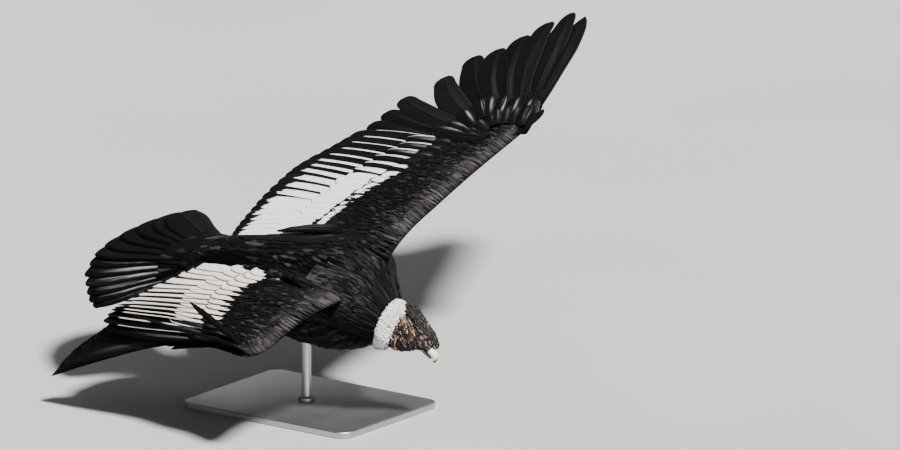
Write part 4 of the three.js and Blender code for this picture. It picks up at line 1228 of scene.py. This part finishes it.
row, step = numbered(17, 92)
part = np.clip(0.1 + 0.9 * (row + draw.uniform(-0.4, 0.4, row.size)) / 16.5, 0.02, 1)
angle = np.radians(-38 + 256 * scattered(row, step) / 92)
root = on_shoulders(part, angle, -1)
back = np.maximum(part - draw.uniform(0.2, 0.27, row.size), 0)
turn = draw.normal(0, 0.02, row.size)
tip = on_shoulders(back, angle + turn, 5 + draw.uniform(-1.5, 1.5, row.size))
up = unit(on_shoulders(part, angle, 10) - root)
wide = 5 + 6 * (1 - part)
made = vanes(root, tip, up, wide, CONTOUR, 5, SMALL_ACROSS, sag=1.5, thick=0.45, camber=0.12)
u, v, tone = 0.98 * part, np.degrees(angle) / 260 + 0.16, 0.5 * draw.uniform(0, 1, row.size) ** 2
# Painted highlight: feathers on the upper side of the shoulders, more so towards the wings, get a
# lighter tone and so more painted glints.
tone = tone + 0.4 * np.clip(np.sin(angle) + 0.3, 0, 1) * (1.3 - part)
add_coat("shoulder_feathers", made, u, v, tone, body_black, ("neck", "torso"))

# TAIL. Twelve broad black feathers fanned from the rump, each under its inner neighbour, with
# rows of coverts over and under their bases. The fan is rolled a little, right side down.
TAIL_TIPS = [
    [-598, 205, 20], [-631, 190, 17], [-664, 160, 13], [-692, 121, 8], [-708, 73, 4], [-710, 24, 0],
    [-706, -23, -6], [-693, -70, -12], [-667, -110, -17], [-642, -145, -23], [-620, -172, -29],
    [-598, -190, -34],
]
RECTRIX = [[0, 0.75], [0.2, 0.92], [0.45, 1.0], [0.93, 1.0], [0.975, 0.86], [0.992, 0.6], [1, 0.4]]
across = 1 - 2 * np.arange(12) / 11
hands = np.where(across > 0, 1.0, -1.0)
high = -9 * np.abs(across)
root = np.stack([np.full(12, -372.0), 46 * across, 6 * across + high + 6], -1)
tip = np.array(TAIL_TIPS, float) + (high + 6)[:, None] * RISE_Z
shape = RECTRIX, 34, FLIGHT_ACROSS, hands, 0.44, -0.06, 0, 0, 1, 0.06, 1.6
made = vanes(root, tip, RISE_Z, 88, *shape)
# Painted highlight bands on the tail feathers of the right half of the fan.
numbers = wing_numbers(12, share=0.44, gloss=ramp(np.arange(12), 4, 3))
add_long("tail_feathers", made, numbers, "tail")

for name, face_sign in (("over", 1), ("under", -1)):
    row, step = numbered(6, 13)
    fan = 1 - 2 * (step + 0.5 * (row % 2)) / 13 + draw.uniform(-0.03, 0.03, row.size)
    column = (1 - fan) / 2 * 11
    reach = 0.40 - 0.055 * row + draw.uniform(-0.02, 0.02, row.size)
    starts, ends = (through(np.column_stack([np.arange(12), v]), column) for v in (root, tip))
    stop = starts + reach[:, None] * (ends - starts) + (face_sign * (4 + 1.8 * row))[:, None] * RISE_Z
    inset = np.stack([24 + 16 * row, 0 * row, face_sign * (8 + 2.6 * row)], -1)
    start = starts + inset + 0.02 * (ends - starts)
    start[:, 1] *= 1 + 0.1 * row
    shape = COVERT, 14, COVERT_ACROSS, 1, 0.5, 0, 3, 0, 0.8, 0.25, 0.6
    made = vanes(start, stop, face_sign * RISE_Z, 42 - 2.5 * row, *shape)
    u, v, tone = (1 + row) / 8, (fan + 1.1) / 2.3, 0.8 * draw.uniform(0, 1, row.size) ** 6
    add_coat("tail_coverts_" + name, made, u, v, tone, coverts_black, ("tail",))

# LEGS. Held back under the tail: bare grey shanks and toes in small scales, with short black
# claws that are nearly straight. A cuff of feathers covers the thigh.
FOOT_Y = 56
TOES = [
    ([-372, 4, -128], [-470, 16, -122], 7),
    ([-374, 0, -128], [-486, 0, -118], 7.5),
    ([-372, -4, -128], [-466, -15, -124], 7),
    ([-362, 0, -134], [-392, 3, -156], 5.5),
]


def tube(points, sizes, stations, count):
    """Round rings of the given sizes along a smooth run of points."""
    part = np.linspace(0, 1, stations)
    line = run_along(points, part)
    size = run_along(np.array(sizes, float)[:, None], part)[:, 0]
    along = unit(np.gradient(line, axis=0))
    across = unit(SIDE_Y - along[:, 1:2] * along)
    return rings(line, size, size, across, np.cross(along, across), count)


leg_finish, shader, place = new_finish("leg_scales")
to_edge, sockets = {"feature": "DISTANCE_TO_EDGE"}, {"Vector": place, "Scale": 230.0}
scale = place.add("TexVoronoi", to_edge, sockets, "Distance")
scale_color = place.noise(120, 4, 0.65).blend((0.13, 0.115, 0.10), (0.36, 0.33, 0.30))
place.feed(
    shader,
    {
        "Base Color": scale.rise(0.0, 0.14).blend((0.05, 0.042, 0.036), scale_color),
        "Roughness": 0.62 - 0.15 * scale.rise(0.0, 0.2),
        "Normal": place.bump(scale.rise(0.0, 0.22), 0.0009, 0.8),
    },
)
claw_finish, shader, place = new_finish("claw_horn")
grain = place.noise(300, 3)
place.feed(
    shader,
    {
        "Base Color": grain.blend((0.012, 0.010, 0.009), (0.050, 0.043, 0.038)),
        "Roughness": 0.24 + 0.25 * grain,
        "Normal": place.bump(grain, 0.0003, 0.5),
    },
)
for name, sign in (("left", 1), ("right", -1)):
    leg = "leg_" + name
    flip = np.array([1, sign, 1])
    thigh = [[-205, 66, -150], [-260, 62, -158], [-330, 57, -142], [-380, FOOT_Y, -127]]
    shank = tube(np.array(thigh) * flip, [22, 15, 9, 9.5, 11], 60, 28)
    make_piece("shank_" + name, shank, leg_finish, (leg,))
    for i, (start, stop, size) in enumerate(TOES):
        start, stop = ((np.array(p, float) + [0, FOOT_Y, 0]) * flip for p in (start, stop))
        knuckle = (start + stop) / 2 + [0, 0, 3]
        joints = [size * k for k in (1.15, 0.98, 1.08, 0.84, 0.95, 0.76, 0.8)]
        toe = tube([start, knuckle, stop], joints, 44, 22)
        make_piece(f"toe_{name}_{i + 1}", toe, leg_finish, (leg,))
        way = unit(stop - start)
        nail = stop + 0.3 * way
        points = [nail, nail + 9 * way + [0, 0, -0.6], nail + 17 * way + [0, 0, -6]]
        claw = tube(points, [size * 0.62, size * 0.56, size * 0.4, 0.7], 26, 20)
        make_piece(f"nail_{name}_{i + 1}", claw, claw_finish, (f"claw_{name}_{i + 1}",))

# STAND. A plain plate and one short rod of brushed steel up to the belly.
steel_finish, shader, place = new_finish("brushed_steel")
streak = place.stretched(6, 420, 420).noise(1.0, 3, 0.6)
smudge = place.noise(9, 3)
place.feed(
    shader,
    {
        "Base Color": smudge.blend((0.42, 0.42, 0.43), (0.56, 0.56, 0.57)),
        "Roughness": 0.30 + 0.16 * streak + 0.08 * smudge,
        "Normal": place.bump(streak, 0.0002, 0.35),
        "Metallic": 1.0,
    },
)
for node in ("stand_base", "stand_rod"):
    for material_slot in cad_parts[node].material_slots:
        material_slot.material = steel_finish

low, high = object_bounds()
